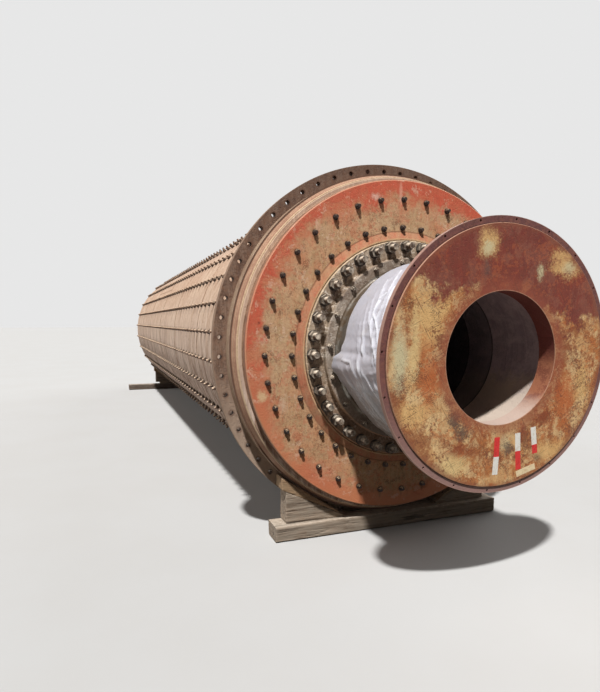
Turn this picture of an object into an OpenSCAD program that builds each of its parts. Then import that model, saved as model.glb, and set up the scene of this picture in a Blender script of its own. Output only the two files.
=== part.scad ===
// Tube ball mill drum, dismounted and laid on timbers.
// X runs along the drum with the gear end at +X, and Z is up.
// The origin is on the ground under the middle of the drum.

/* [Drum] */
// Bore of the drum between bare shell plates
shell_bore_d = 3200; // [2800:50:3600]
// Thickness of the shell plate
shell_t = 40; // [20:1:60]
// Distance over the outer faces of the two heads
heads_l = 13350; // [8000:50:15000]
// Chamfer at the end of each shell course, for the weld
weld_chamfer = 6; // [2:1:12]

/* [Lining] */
// Rows of liner plates round the drum
liner_rows = 32; // [24:1:36]
// Thickness of a liner plate
liner_t = 45; // [30:1:60]
// Height of the lifter on each liner plate
lifter_h = 40; // [20:1:60]
// Width of a lifter at its root
lifter_w = 130; // [110:1:160]
// Width of a lifter at its crest
lifter_crest_w = 70; // [40:1:90]

/* [Heads] */
// Thickness of a head
head_t = 150; // [120:1:220]
// How far a head stands out of the shell
head_out = 100; // [60:1:115]
// Chamfer round the rim of a head
head_chamfer = 8; // [2:1:20]
// Height of the raised ring round the trunnion's seat
ring_h = 30; // [10:1:60]
// Width of the raised ring's crest
ring_crest_w = 13; // [6:1:40]
// Width of the raised ring's outer slope
ring_slope_w = 64; // [20:1:100]

/* [Gear flange] */
// Thickness of the hub ring over the shell
hub_t = 57; // [40:1:80]
// Distance from the shell's end to the hub's thin front end
hub_setback = 10; // [0:1:60]
// Length of the taper at each end of the hub
hub_taper_l = 90; // [40:1:140]
// Length of the hub between its front taper and the flange
hub_front_l = 151; // [100:1:200]
// Length of the hub behind the flange
hub_back_l = 60; // [20:1:150]
// Height of the step where the front taper starts
hub_step = 14; // [4:1:25]
// Lip left at the thin end of a taper
hub_lip = 8; // [4:1:12]
// Width of the gear flange outside the hub
gear_flange_w = 125; // [100:1:160]
// Thickness of the gear flange
gear_flange_t = 80; // [40:1:120]
// Bolt holes in the gear flange
gear_holes = 60; // [24:1:72]
// Distance from the bolt circle to the flange's rim
gear_hole_edge = 65; // [50:1:75]
// Diameter of a bolt hole
gear_hole_d = 43; // [20:1:50]
// Turn of the bolt circle
gear_hole_phase = 1.75; // [0:0.05:6]

/* [Trunnions] */
// Diameter of the journal
journal_d = 1500; // [1300:10:1700]
// Length of the journal between the boss and the collar
journal_l = 1257; // [900:1:1600]
// Wall between the journal and the trunnion's bore
journal_wall = 90; // [60:1:120]
// Fillet at the foot of the journal
journal_fillet_r = 32; // [10:1:40]
// Wall of the spigot that centres the trunnion in the head
spigot_wall = 140; // [100:1:170]
// Width of the boss outside the journal
boss_w = 123; // [95:1:150]
// Height of the boss over the bolted flange
boss_h = 65; // [20:1:100]
// Width of the bolted flange outside the boss
flange_w = 167; // [130:1:220]
// Thickness of the bolted flange
flange_t = 80; // [50:1:140]
// Depth of the flange's seat in the head
seat_depth = 30; // [10:1:45]
// Gap round the flange in its seat
seat_gap = 8; // [2:1:14]
// Chamfer on the edges of the flange and boss, and at the boss's foot
flange_chamfer = 8; // [2:1:14]

/* [Collar and end plate] */
// Width of the collar outside the journal
collar_w = 282; // [200:1:340]
// Thickness of the collar
collar_t = 40; // [20:1:80]
// Small holes round the collar
collar_holes = 20; // [8:1:40]
// Distance from the circle of small holes to the collar's rim
collar_hole_edge = 20; // [16:1:30]
// Diameter of a small hole
collar_hole_d = 18; // [8:1:20]
// Turn of the circle of small holes
collar_hole_phase = 14; // [0:1:18]
// How far the end plate's rim lies inside the collar's rim
end_plate_inset = 52; // [42:1:80]
// Thickness of the end plate
end_plate_t = 14; // [8:1:30]
// Chamfer round the end plate
end_plate_chamfer = 3; // [1:1:6]
// Depth of the sleeve behind the opening
sleeve_l = 150; // [60:1:250]
// Wall of the sleeve
sleeve_t = 20; // [10:1:30]

/* [Throat liner] */
// Wall of the throat liner
throat_t = 30; // [15:1:45]
// Room round the liner's outer end in the trunnion's bore
throat_room_out = 50; // [30:1:80]
// Room round the liner's inner end in the trunnion's bore
throat_room_in = 10; // [4:1:25]
// Width of the band that centres the liner's outer end
throat_band_w = 60; // [30:1:120]
// Width of the rim inside the drum, outside the trunnion's bore
throat_rim_w = 120; // [60:1:160]
// Thickness of the rim inside the drum
throat_rim_t = 40; // [20:1:60]
// How much narrower the opening's radius is than the liner's bore
opening_step = 79; // [50:1:120]

/* [Trunnion studs] */
// Big studs that hold each trunnion
trunnion_studs = 36; // [12:1:40]
// Distance from the circle of big studs to the flange's rim
trunnion_stud_edge = 60; // [54:1:70]
// Diameter of a big stud
trunnion_stud_d = 58; // [30:1:64]
// Width over the flats of a big nut
trunnion_nut_w = 92; // [60:1:96]
// Length of thread that shows beyond a big nut
trunnion_thread_l = 70; // [15:1:90]
// Small studs on the boss
boss_studs = 18; // [6:1:24]
// Distance from the circle of small studs to the boss's rim
boss_stud_edge = 40; // [30:1:50]
// Diameter of a small stud
boss_stud_d = 28; // [12:1:36]
// Width over the flats of a small nut
boss_nut_w = 44; // [30:1:52]
// Length of thread that shows beyond a small nut
boss_thread_l = 14; // [6:1:40]
// Turn of the stud circles
stud_phase = 1.5; // [0:0.5:10]
// Turn from a big stud to the next small one, in pitches of the big studs
boss_stud_turn = 1.5; // [0:0.5:2]

/* [Journal wrap] */
// Bare journal between the boss and the film
wrap_gap = 185; // [60:1:400]
// Thickness of the rolled film
wrap_t = 16; // [6:1:24]

/* [Timbers] */
// Height of a sleeper
sleeper_h = 160; // [140:1:240]
// Width of a sleeper
sleeper_w = 260; // [220:1:300]
// Length of the near sleeper
sleeper_l = 2600; // [2400:10:3200]
// Length of the far sleeper, which stands out past the drum on both sides
far_sleeper_l = 3980; // [2600:10:4400]
// Arris planed off each sleeper
sleeper_arris = 12; // [4:1:20]
// Gap between the near sleeper and the gear flange
near_sleeper_gap = 15; // [5:1:40]
// Distance from the shell's far end to the far sleeper
far_sleeper_in = 40; // [0:1:400]
// Length of the packing board on the far sleeper
board_l = 2080; // [1600:10:2400]
// Width of the packing board
board_w = 240; // [200:1:260]
// Slope of a chock that lies on a sleeper
chock_slope = 26; // [20:1:28]
// Slope of the driven wedge's upper face, which touches the drum
wedge_slope = 34; // [31:1:37]
// Length of a chock along its foot
chock_l = 620; // [520:10:700]
// Width of a chock and its wedge
chock_w = 200; // [120:1:220]
// Height of a chock's blunt tip
chock_tip = 24; // [10:1:60]
// How far a driven wedge stands out past its chock
wedge_out = 40; // [0:1:80]

/* [Hidden] */
$fn = 128;

// Clearance between round faces that seat on each other
fit = 0.3;
// Overshoot of a cutting tool past the faces that it cuts
over = 1;
// How far a lifter is rooted in its plate
lifter_root = 15;
// Shares of a stud's diameter: its nut's height and its washer's thickness
nut_share = 0.8;
washer_share = 0.12;
// Diameter of a washer over the width of its nut
washer_spread = 1.2;
// Courses that the shell is welded from
courses = 6;

// Radii, from the shell outwards
shell_bore_r = shell_bore_d / 2;
shell_r = shell_bore_r + shell_t;
hub_r = shell_r + hub_t;
gear_flange_r = hub_r + gear_flange_w;
gear_hole_circle_r = gear_flange_r - gear_hole_edge;
head_r = shell_bore_r - fit;

// Radii, from the journal inwards and outwards
journal_r = journal_d / 2;
trunnion_bore_r = journal_r - journal_wall;
spigot_r = trunnion_bore_r + spigot_wall;
boss_r = journal_r + boss_w;
flange_r = boss_r + flange_w;
seat_r = flange_r + seat_gap;
ring_crest_r = seat_r + ring_crest_w;
ring_foot_r = ring_crest_r + ring_slope_w;
collar_r = journal_r + collar_w;
end_plate_r = collar_r - end_plate_inset;
throat_out_r = trunnion_bore_r - throat_room_out - throat_t;
throat_in_r = trunnion_bore_r - throat_room_in - throat_t;
throat_rim_r = trunnion_bore_r + throat_rim_w;
opening_r = throat_out_r - opening_step;

// Turn of the circle of small studs
boss_stud_phase = stud_phase + boss_stud_turn * 360 / trunnion_studs;

// Distances out of the drum, from a head's face
flange_face = flange_t - seat_depth;
boss_face = flange_face + boss_h;
collar_back = boss_face + journal_l;
collar_out = collar_back + collar_t;
wrap_start = boss_face + wrap_gap;
hub_front = -head_out - hub_setback - hub_taper_l;
gear_flange_front = hub_front - hub_front_l;
gear_flange_back = gear_flange_front - gear_flange_t;
hub_back = gear_flange_back - hub_back_l;

// Distances along the drum, and the height of its axis
face_x = heads_l / 2;
shell_end_x = face_x - head_out;
course_l = 2 * shell_end_x / courses;
lining_l = 2 * (face_x - head_t - fit);
axis_z = sleeper_h + hub_r + fit;

// Drum axis: local Z points along +X, from the given distance along the drum
module on_axis(x) {
    translate([x, 0, axis_z]) rotate([0, 90, 0]) children();
}

// Near end: local Z points out of the drum, from the head's face
module near_end() {
    on_axis(face_x) children();
}

// Far end: the same pieces, mirrored
module far_end() {
    mirror([1, 0, 0]) near_end() children();
}

// Copies round the axis, where the turn is counted from +Y towards +Z
module around(count, radius, turn) {
    for (i = [0:count - 1])
        rotate([0, 0, 90 + turn + i * 360 / count]) translate([radius, 0, 0]) children();
}

// A solid turned about the axis from [radius, distance] points
module turned(points) {
    rotate_extrude() polygon(points);
}

module hex_prism(width, height) {
    cylinder(d = width / cos(30), h = height, $fn = 6);
}

module shell_course(index) {
    color("tan")
    on_axis(-shell_end_x + index * course_l)
    turned([
        [shell_bore_r, 0],
        [shell_r - weld_chamfer, 0],
        [shell_r, weld_chamfer],
        [shell_r, course_l - weld_chamfer],
        [shell_r - weld_chamfer, course_l],
        [shell_bore_r, course_l]
    ]);
}

// Wave lining: a ring with one lifter left standing at each row of bolts
module shell_lining() {
    plate_r = shell_bore_r - liner_t;
    crest_r = plate_r - lifter_h;
    root_r = plate_r + lifter_root;
    color("dimgray")
    on_axis(-lining_l / 2)
    difference() {
        cylinder(r = shell_bore_r - fit, h = lining_l);
        difference() {
            translate([0, 0, -over]) cylinder(r = plate_r, h = lining_l + 2 * over);
            for (i = [0:liner_rows - 1])
                rotate([0, 0, 90 + (i + 0.5) * 360 / liner_rows])
                translate([0, 0, -2 * over])
                linear_extrude(height = lining_l + 4 * over)
                polygon([
                    [root_r, -lifter_w / 2], [crest_r, -lifter_crest_w / 2],
                    [crest_r, lifter_crest_w / 2], [root_r, lifter_w / 2]
                ]);
        }
    }
}

module gear_flange() {
    color("saddlebrown")
    near_end()
    translate([0, 0, gear_flange_back])
    difference() {
        cylinder(r = gear_flange_r, h = gear_flange_t);
        translate([0, 0, -over]) cylinder(r = hub_r + fit, h = gear_flange_t + 2 * over);
        around(gear_holes, gear_hole_circle_r, gear_hole_phase)
            translate([0, 0, -over]) cylinder(d = gear_hole_d, h = gear_flange_t + 2 * over, $fn = 32);
    }
}

// Ring on the shell that carries the gear flange, tapered at both ends
module gear_hub() {
    lip_r = shell_r + hub_lip;
    color("burlywood")
    near_end()
    turned([
        [shell_r + fit, hub_back - hub_taper_l],
        [lip_r, hub_back - hub_taper_l],
        [hub_r, hub_back],
        [hub_r, hub_front],
        [hub_r - hub_step, hub_front],
        [lip_r, hub_front + hub_taper_l],
        [shell_r + fit, hub_front + hub_taper_l]
    ]);
}

module head() {
    color("chocolate")
    turned([
        [spigot_r + fit, -head_t],
        [head_r, -head_t],
        [head_r, -head_chamfer],
        [head_r - head_chamfer, 0],
        [ring_foot_r, 0],
        [ring_crest_r, ring_h],
        [seat_r, ring_h],
        [seat_r, -seat_depth],
        [spigot_r + fit, -seat_depth]
    ]);
}
module near_head() { near_end() head(); }
module far_head() { far_end() head(); }

// Bolted flange with its spigot behind and its boss in front
module trunnion_flange() {
    color("darkkhaki")
    turned([
        [trunnion_bore_r, -head_t],
        [spigot_r, -head_t],
        [spigot_r, -seat_depth],
        [flange_r, -seat_depth],
        [flange_r, flange_face - flange_chamfer],
        [flange_r - flange_chamfer, flange_face],
        [boss_r + flange_chamfer, flange_face],
        [boss_r, flange_face + flange_chamfer],
        [boss_r, boss_face - flange_chamfer],
        [boss_r - flange_chamfer, boss_face],
        [trunnion_bore_r, boss_face]
    ]);
}
module near_trunnion_flange() { near_end() trunnion_flange(); }
module far_trunnion_flange() { far_end() trunnion_flange(); }

// Journal with a round fillet at its foot
module journal() {
    color("silver")
    translate([0, 0, boss_face])
    rotate_extrude()
    union() {
        translate([trunnion_bore_r, 0]) square([journal_r - trunnion_bore_r, journal_l]);
        difference() {
            translate([journal_r - over, 0]) square([journal_fillet_r + over, journal_fillet_r]);
            translate([journal_r + journal_fillet_r, journal_fillet_r]) circle(r = journal_fillet_r);
        }
    }
}
module near_journal() { near_end() journal(); }
module far_journal() { far_end() journal(); }

module collar() {
    color("rosybrown")
    translate([0, 0, collar_back])
    difference() {
        cylinder(r = collar_r, h = collar_t);
        translate([0, 0, -over]) cylinder(r = trunnion_bore_r, h = collar_t + 2 * over);
        around(collar_holes, collar_r - collar_hole_edge, collar_hole_phase)
            translate([0, 0, -over]) cylinder(d = collar_hole_d, h = collar_t + 2 * over, $fn = 24);
    }
}
module near_collar() { near_end() collar(); }
module far_collar() { far_end() collar(); }

// Proud plate with the round opening and the sleeve behind it
module end_plate() {
    color("peru")
    translate([0, 0, collar_out])
    turned([
        [opening_r, -sleeve_l],
        [opening_r + sleeve_t, -sleeve_l],
        [opening_r + sleeve_t, 0],
        [end_plate_r, 0],
        [end_plate_r, end_plate_t - end_plate_chamfer],
        [end_plate_r - end_plate_chamfer, end_plate_t],
        [opening_r, end_plate_t]
    ]);
}
module near_end_plate() { near_end() end_plate(); }
module far_end_plate() { far_end() end_plate(); }

// Conical liner of the trunnion's bore, with a centring band and a rim inside the drum
module throat_liner() {
    rim_front = -head_t - fit;
    front = collar_out - fit;
    color("gray")
    turned([
        [throat_in_r, rim_front - throat_rim_t],
        [throat_rim_r, rim_front - throat_rim_t],
        [throat_rim_r, rim_front],
        [throat_in_r + throat_t, rim_front],
        [throat_out_r + throat_t, front - throat_band_w],
        [trunnion_bore_r - fit, front - throat_band_w],
        [trunnion_bore_r - fit, front],
        [throat_out_r, front]
    ]);
}
module near_throat_liner() { near_end() throat_liner(); }
module far_throat_liner() { far_end() throat_liner(); }

// Stud with its nut and washer, standing on a face at the given height
module stud(d, nut_w, thread_l, face) {
    washer_t = d * washer_share;
    nut_h = d * nut_share;
    translate([0, 0, face]) cylinder(d = nut_w * washer_spread, h = washer_t, $fn = 24);
    translate([0, 0, face + washer_t]) hex_prism(nut_w, nut_h);
    translate([0, 0, face + washer_t + nut_h]) cylinder(d = d, h = thread_l, $fn = 24);
}

module big_studs() {
    color("khaki")
    around(trunnion_studs, flange_r - trunnion_stud_edge, stud_phase)
        stud(trunnion_stud_d, trunnion_nut_w, trunnion_thread_l, flange_face);
}
module near_trunnion_studs() { near_end() big_studs(); }
module far_trunnion_studs() { far_end() big_studs(); }

module small_studs() {
    color("khaki")
    around(boss_studs, boss_r - boss_stud_edge, boss_stud_phase)
        stud(boss_stud_d, boss_nut_w, boss_thread_l, boss_face);
}
module near_boss_studs() { near_end() small_studs(); }
module far_boss_studs() { far_end() small_studs(); }

module journal_wrap() {
    color("lightsteelblue")
    turned([
        [journal_r + fit, wrap_start],
        [journal_r + wrap_t, wrap_start + wrap_t],
        [journal_r + wrap_t, collar_back - fit],
        [journal_r + fit, collar_back - fit]
    ]);
}
module near_journal_wrap() { near_end() journal_wrap(); }
module far_journal_wrap() { far_end() journal_wrap(); }

// Squared timber with planed arrises, lying along Y and centred on x
module timber(x, z, width, height, length) {
    a = sleeper_arris;
    translate([x, length / 2, z])
    rotate([90, 0, 0])
    linear_extrude(height = length)
    polygon([
        [-width / 2 + a, 0], [width / 2 - a, 0], [width / 2, a], [width / 2, height - a],
        [width / 2 - a, height], [-width / 2 + a, height], [-width / 2, height - a], [-width / 2, a]
    ]);
}

// The near sleeper carries the front length of the gear hub
near_sleeper_x = face_x + gear_flange_front + near_sleeper_gap + sleeper_w / 2;
far_sleeper_x = -shell_end_x + far_sleeper_in + sleeper_w / 2;
// The board makes up the height of the hub, which the far end lacks
board_h = axis_z - shell_r - sleeper_h - fit;

module near_sleeper() {
    color("dimgray") timber(near_sleeper_x, 0, sleeper_w, sleeper_h, sleeper_l);
}
module far_sleeper() {
    color("dimgray") timber(far_sleeper_x, 0, sleeper_w, sleeper_h, far_sleeper_l);
}
module far_packing_board() {
    color("gray") timber(far_sleeper_x, sleeper_h, board_w, board_h, board_l);
}

// Where the driven wedge's upper face meets the chock's tip, for a drum of radius r over a base
function tip_y(base, r) =
    (r + fit) * sin(wedge_slope)
    - (axis_z - base - (r + fit) * cos(wedge_slope) - chock_tip) / tan(wedge_slope);

// Places an outline of [y, z] points at the given side of the drum, as wide as a chock
module beside(x, base, side) {
    translate([x, 0, base])
    mirror([0, side < 0 ? 1 : 0, 0])
    translate([-chock_w / 2, 0, 0])
    rotate([90, 0, 90])
    linear_extrude(height = chock_w)
    children();
}

// Chock on a base, under the driven wedge
module chock(x, base, r, side) {
    tip = tip_y(base, r);
    color("dimgray")
    beside(x, base, side)
    polygon([
        [tip, 0], [tip + chock_l, 0],
        [tip + chock_l, chock_tip + chock_l * tan(chock_slope)], [tip, chock_tip]
    ]);
}

// Wedge driven in between the chock and the drum
module wedge(x, base, r, side) {
    tip = tip_y(base, r);
    length = chock_l + wedge_out;
    color("burlywood")
    beside(x, base, side)
    polygon([
        [tip, chock_tip], [tip + length, chock_tip + length * tan(chock_slope)],
        [tip + length, chock_tip + length * tan(wedge_slope)]
    ]);
}

near_chock_x = near_sleeper_x - sleeper_w / 2 + chock_w / 2;
far_base = sleeper_h + board_h;
module near_chock_left() { chock(near_chock_x, sleeper_h, hub_r, -1); }
module near_chock_right() { chock(near_chock_x, sleeper_h, hub_r, 1); }
module near_wedge_left() { wedge(near_chock_x, sleeper_h, hub_r, -1); }
module near_wedge_right() { wedge(near_chock_x, sleeper_h, hub_r, 1); }
module far_chock_left() { chock(far_sleeper_x, far_base, shell_r, -1); }
module far_chock_right() { chock(far_sleeper_x, far_base, shell_r, 1); }
module far_wedge_left() { wedge(far_sleeper_x, far_base, shell_r, -1); }
module far_wedge_right() { wedge(far_sleeper_x, far_base, shell_r, 1); }

shell_course(5);  // shell_course_1
shell_course(4);  // shell_course_2
shell_course(3);  // shell_course_3
shell_course(2);  // shell_course_4
shell_course(1);  // shell_course_5
shell_course(0);  // shell_course_6
shell_lining();
gear_flange();
gear_hub();
near_head();
far_head();
near_trunnion_flange();
near_journal();
near_collar();
near_end_plate();
near_throat_liner();
far_trunnion_flange();
far_journal();
far_collar();
far_end_plate();
far_throat_liner();
near_trunnion_studs();
far_trunnion_studs();
near_boss_studs();
far_boss_studs();
near_journal_wrap();
far_journal_wrap();
near_sleeper();
near_chock_left();
near_chock_right();
near_wedge_left();
near_wedge_right();
far_sleeper();
far_packing_board();
far_chock_left();
far_chock_right();
far_wedge_left();
far_wedge_right();
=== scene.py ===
# %% [markdown]
# # The drum of a tube ball mill, laid on timbers
#
# The CAD model gives every rigid piece: shell courses, heads, hollow trunnions, collars, the gear
# flange and the sleepers. This lesson dresses it. It adds the rows of liner bolts with Geometry
# Nodes, wraps the journals in loose film, and gives each piece a finish that was built up from
# noise and from the place of a point on the drum, because rust and run-off follow the shape.

import bmesh
import bpy
import math
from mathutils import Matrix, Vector, geometry, noise


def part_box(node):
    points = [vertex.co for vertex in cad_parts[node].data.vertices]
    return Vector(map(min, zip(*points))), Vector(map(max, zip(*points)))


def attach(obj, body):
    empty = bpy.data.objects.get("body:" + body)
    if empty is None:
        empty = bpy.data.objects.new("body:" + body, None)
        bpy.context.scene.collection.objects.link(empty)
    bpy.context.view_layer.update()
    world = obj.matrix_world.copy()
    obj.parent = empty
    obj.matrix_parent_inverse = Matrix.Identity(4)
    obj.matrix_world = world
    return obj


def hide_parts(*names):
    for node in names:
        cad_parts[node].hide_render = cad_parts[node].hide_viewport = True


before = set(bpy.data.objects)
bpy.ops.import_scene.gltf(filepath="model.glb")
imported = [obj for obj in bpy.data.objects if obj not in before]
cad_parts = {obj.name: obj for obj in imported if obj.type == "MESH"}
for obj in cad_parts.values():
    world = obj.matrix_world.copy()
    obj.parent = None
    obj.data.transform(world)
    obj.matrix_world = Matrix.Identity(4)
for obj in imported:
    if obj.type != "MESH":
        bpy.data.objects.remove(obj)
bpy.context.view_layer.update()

# %% [markdown]
# ## Read the driving sizes from the frame
#
# Nothing is placed by eye. The axis, the faces and the radii all come from the boxes of the CAD
# nodes, so a changed drum moves the bolts, the welds and the film with it.

# %% Sizes of the drum
RING_HEIGHT = 0.030    # how far the raised ring stands out of the head
HEAD_OUT = 0.100       # how far the head's face stands out of the shell's end
WRAP_THICK = 0.016     # the CAD tube that stands for the film
BOSS_STEP = 0.123      # from the journal out to the boss's edge
STUD_INSET = 0.060     # from the trunnion flange's edge in to its big studs

head_low, head_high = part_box("near_head")
AXIS = (head_low.z + head_high.z) / 2
FACE = head_high.x - RING_HEIGHT
HEAD_RADIUS = (head_high.y - head_low.y) / 2
SHELL_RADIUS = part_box("shell_course_1")[1].y
SHELL_END = FACE - HEAD_OUT
HUB_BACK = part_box("gear_hub")[0].x
FLANGE_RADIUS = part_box("near_trunnion_flange")[1].y
FLANGE_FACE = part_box("near_trunnion_studs")[0].x
JOURNAL_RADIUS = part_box("near_journal_wrap")[1].y - WRAP_THICK
BOSS_RADIUS = JOURNAL_RADIUS + BOSS_STEP
STUD_CIRCLE = FLANGE_RADIUS - STUD_INSET
COLLAR_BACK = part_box("near_collar")[0].x
COLLAR_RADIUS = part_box("near_collar")[1].y
PLATE_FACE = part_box("near_end_plate")[1].x
PLATE_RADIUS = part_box("near_end_plate")[1].y
print(f"axis at {AXIS:.4f}, head face at {FACE:.4f}, shell radius {SHELL_RADIUS:.3f}")
print(f"collar back {COLLAR_BACK:.3f}, plate face {PLATE_FACE:.3f}, flange face {FLANGE_FACE:.3f}")

# %% [markdown]
# ## A short way to write node trees
#
# Every material here is a tree of nodes. Adding a node, setting it and linking it takes four lines
# in bpy, so a small class does the three together and hands back the output socket. A tree then
# reads like a sum, from the inside out.

# %% Node writer
def srgb(red, green, blue):
    """A colour picked on a screen, 0 to 255, in the linear numbers that shaders use."""
    def linear(value):
        value /= 255
        return value / 12.92 if value <= 0.04045 else ((value + 0.055) / 1.055) ** 2.4
    return (linear(red), linear(green), linear(blue), 1.0)


class Nodes:
    """Adds nodes to one tree. Each call returns the output socket of the node that it added."""

    def __init__(self, tree):
        self.tree = tree

    def feed(self, value, socket):
        if isinstance(value, bpy.types.NodeSocket):
            self.tree.links.new(value, socket)
        elif value is not None:
            socket.default_value = value

    def add(self, kind, inputs=None, **settings):
        node = self.tree.nodes.new(kind)
        for name, value in settings.items():
            setattr(node, name, value)
        for key, value in (inputs or {}).items():
            self.feed(value, node.inputs[key])
        return node

    def math(self, operation, a, b=None, c=None):
        return self.add("ShaderNodeMath", {0: a, 1: b, 2: c}, operation=operation).outputs[0]

    def plus(self, *values):
        total = values[0]
        for value in values[1:]:
            total = self.math("ADD", total, value)
        return total

    def minus(self, a, b):
        return self.math("SUBTRACT", a, b)

    def times(self, a, b):
        return self.math("MULTIPLY", a, b)

    def divide(self, a, b):
        return self.math("DIVIDE", a, b)

    def absolute(self, a):
        return self.math("ABSOLUTE", a)

    def hypot(self, a, b):
        return self.math("SQRT", self.plus(self.times(a, a), self.times(b, b)))

    def off_whole(self, a):
        """How far a number lies from the nearest whole one."""
        return self.minus(a, self.math("ROUND", a))

    def ramp(self, value, low, high, start=0.0, end=1.0):
        """Rises smoothly from start to end while value goes from low to high."""
        sockets = {"Value": value, "From Min": low, "From Max": high, "To Min": start, "To Max": end}
        return self.add("ShaderNodeMapRange", sockets, interpolation_type="SMOOTHSTEP").outputs[0]

    def band(self, value, centre, half):
        """1 at the centre value, falling to 0 at half either side."""
        away = self.absolute(self.minus(value, centre))
        return self.ramp(away, 0.0, half, 1.0, 0.0)

    def mix(self, mask, a, b):
        # A mix of colours has its factor, A and B on the sockets 0, 6 and 7, and its result on 2
        return self.add("ShaderNodeMix", {0: mask, 6: a, 7: b}, data_type="RGBA").outputs[2]

    def vector(self, x, y, z):
        return self.add("ShaderNodeCombineXYZ", {0: x, 1: y, 2: z}).outputs[0]

    def split(self, vector):
        return self.add("ShaderNodeSeparateXYZ", {0: vector}).outputs

    def place(self):
        return self.add("ShaderNodeTexCoord").outputs["Object"]

    def noise(self, vector, scale, detail=3.0, roughness=0.55, distortion=0.0):
        sockets = {"Vector": vector, "Scale": scale, "Detail": detail,
                   "Roughness": roughness, "Distortion": distortion}
        return self.add("ShaderNodeTexNoise", sockets).outputs[0]

    def wander(self, reach, vector, *grain):
        """Noise about zero, which strays by about a fifth of reach to either side."""
        return self.times(self.minus(self.noise(vector, *grain), 0.5), reach)

    def use(self, group, **inputs):
        """Places a node group. Its inputs are given by name, with _ for a space."""
        node = self.add("ShaderNodeGroup", node_tree=group)
        for name, value in inputs.items():
            self.feed(value, node.inputs[name.replace("_", " ")])
        return node.outputs


def new_group(name, inputs, outputs):
    """An empty shader node group. An input's value is its default, and None makes it a vector."""
    tree = bpy.data.node_groups.new(name, "ShaderNodeTree")
    for label, default in inputs.items():
        kind = "NodeSocketVector" if default is None else "NodeSocketFloat"
        socket = tree.interface.new_socket(label, in_out="INPUT", socket_type=kind)
        if default is not None:
            socket.default_value = default
    for label in outputs:
        tree.interface.new_socket(label, in_out="OUTPUT", socket_type="NodeSocketFloat")
    nodes = Nodes(tree)
    given = nodes.add("NodeGroupInput").outputs
    wanted = nodes.add("NodeGroupOutput").inputs
    return nodes, given, wanted


# %% [markdown]
# ## Where a point lies on the drum
#
# A turned piece is best described by its distance along the axis, its radius and its angle. Each
# CAD object sits at the origin with its place in its mesh, so Object coordinates are the same for
# all of them, and one group can turn them into drum coordinates for every material.

# %% Group: drum place
def make_drum_place():
    nodes, _, wanted = new_group("drum place", {}, ["Along", "Across", "Up", "Radius", "Angle"])
    along, across, height = nodes.split(nodes.place())
    up = nodes.minus(height, AXIS)
    radius = nodes.hypot(across, up)
    for name, value in (("Along", along), ("Across", across), ("Up", up), ("Radius", radius),
                        ("Angle", nodes.math("ARCTAN2", up, across))):
        nodes.feed(value, wanted[name])
    return nodes.tree


DRUM_PLACE = make_drum_place()

# %% [markdown]
# ## Blotches, run-off, grit and crust
#
# Old paint and rust have four kinds of mark. Blotches are patches with ragged edges: a coarse
# noise bent by a finer one, cut at a level. Run-off is rain dragging rust downwards: a noise that
# changes fast sideways and slowly up and down. Grit is the fine grain that catches the light, and
# feeds the bump. Crust is rust coming through in specks that crowd together in some places and
# thin out in others. All four are groups, because nearly every material uses them.

# %% Groups: blotches, run-off, grit and crust
def make_blotches():
    inputs = {"Vector": None, "Scale": 1.0, "Cover": 0.5, "Softness": 0.1}
    nodes, given, wanted = new_group("blotches", inputs, ["Mask"])
    coarse = nodes.noise(given["Vector"], given["Scale"], 5.0, 0.62, 0.7)
    fine = nodes.noise(given["Vector"], nodes.times(given["Scale"], 9.0), 4.0, 0.6)
    level = nodes.plus(coarse, nodes.times(nodes.minus(fine, 0.5), 0.35))
    # Noise stays between about 0.3 and 0.7, so Cover is spread over that range
    middle = nodes.math("MULTIPLY_ADD", given["Cover"], -0.4, 0.7)
    low = nodes.minus(middle, given["Softness"])
    high = nodes.math("ADD", middle, given["Softness"])
    nodes.feed(nodes.ramp(level, low, high), wanted["Mask"])
    return nodes.tree


def make_run_off():
    inputs = {"Vector": None, "Scale": 20.0, "Length": 12.0}
    nodes, given, wanted = new_group("run-off", inputs, ["Mask"])
    x, y, z = nodes.split(given["Vector"])
    stretched = nodes.vector(x, y, nodes.divide(z, given["Length"]))
    broad = nodes.noise(stretched, given["Scale"], 3.0, 0.6)
    thin = nodes.noise(stretched, nodes.times(given["Scale"], 3.7), 2.0, 0.5)
    both = nodes.plus(nodes.times(broad, 0.65), nodes.times(thin, 0.35))
    nodes.feed(nodes.ramp(both, 0.38, 0.62), wanted["Mask"])
    return nodes.tree


def make_grit():
    inputs = {"Vector": None, "Grain": 160.0, "Pitting": 0.5}
    nodes, given, wanted = new_group("grit", inputs, ["Height"])
    grain = nodes.noise(given["Vector"], given["Grain"], 4.0, 0.65)
    swell = nodes.noise(given["Vector"], nodes.times(given["Grain"], 0.11), 3.0, 0.6)
    pits = nodes.ramp(nodes.noise(given["Vector"], nodes.times(given["Grain"], 0.4), 2.0), 0.36, 0.46)
    pitted = nodes.math("MULTIPLY_ADD", nodes.minus(pits, 1.0), given["Pitting"], grain)
    nodes.feed(nodes.plus(pitted, nodes.times(swell, 0.8)), wanted["Height"])
    return nodes.tree


def make_crust():
    inputs = {"Vector": None, "Grain": 60.0, "Clump": 6.0, "Cover": 0.3}
    nodes, given, wanted = new_group("crust", inputs, ["Mask"])
    grain = nodes.noise(given["Vector"], given["Grain"], 3.0, 0.75)
    clump = nodes.noise(given["Vector"], given["Clump"], 5.0, 0.7, 0.8)
    more = nodes.math("MULTIPLY_ADD", given["Cover"], 0.5, -1.30)
    level = nodes.plus(grain, nodes.times(clump, 1.1), more)
    nodes.feed(nodes.ramp(level, -0.05, 0.05), wanted["Mask"])
    return nodes.tree


BLOTCHES = make_blotches()
RUN_OFF = make_run_off()
GRIT = make_grit()
CRUST = make_crust()
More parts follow.
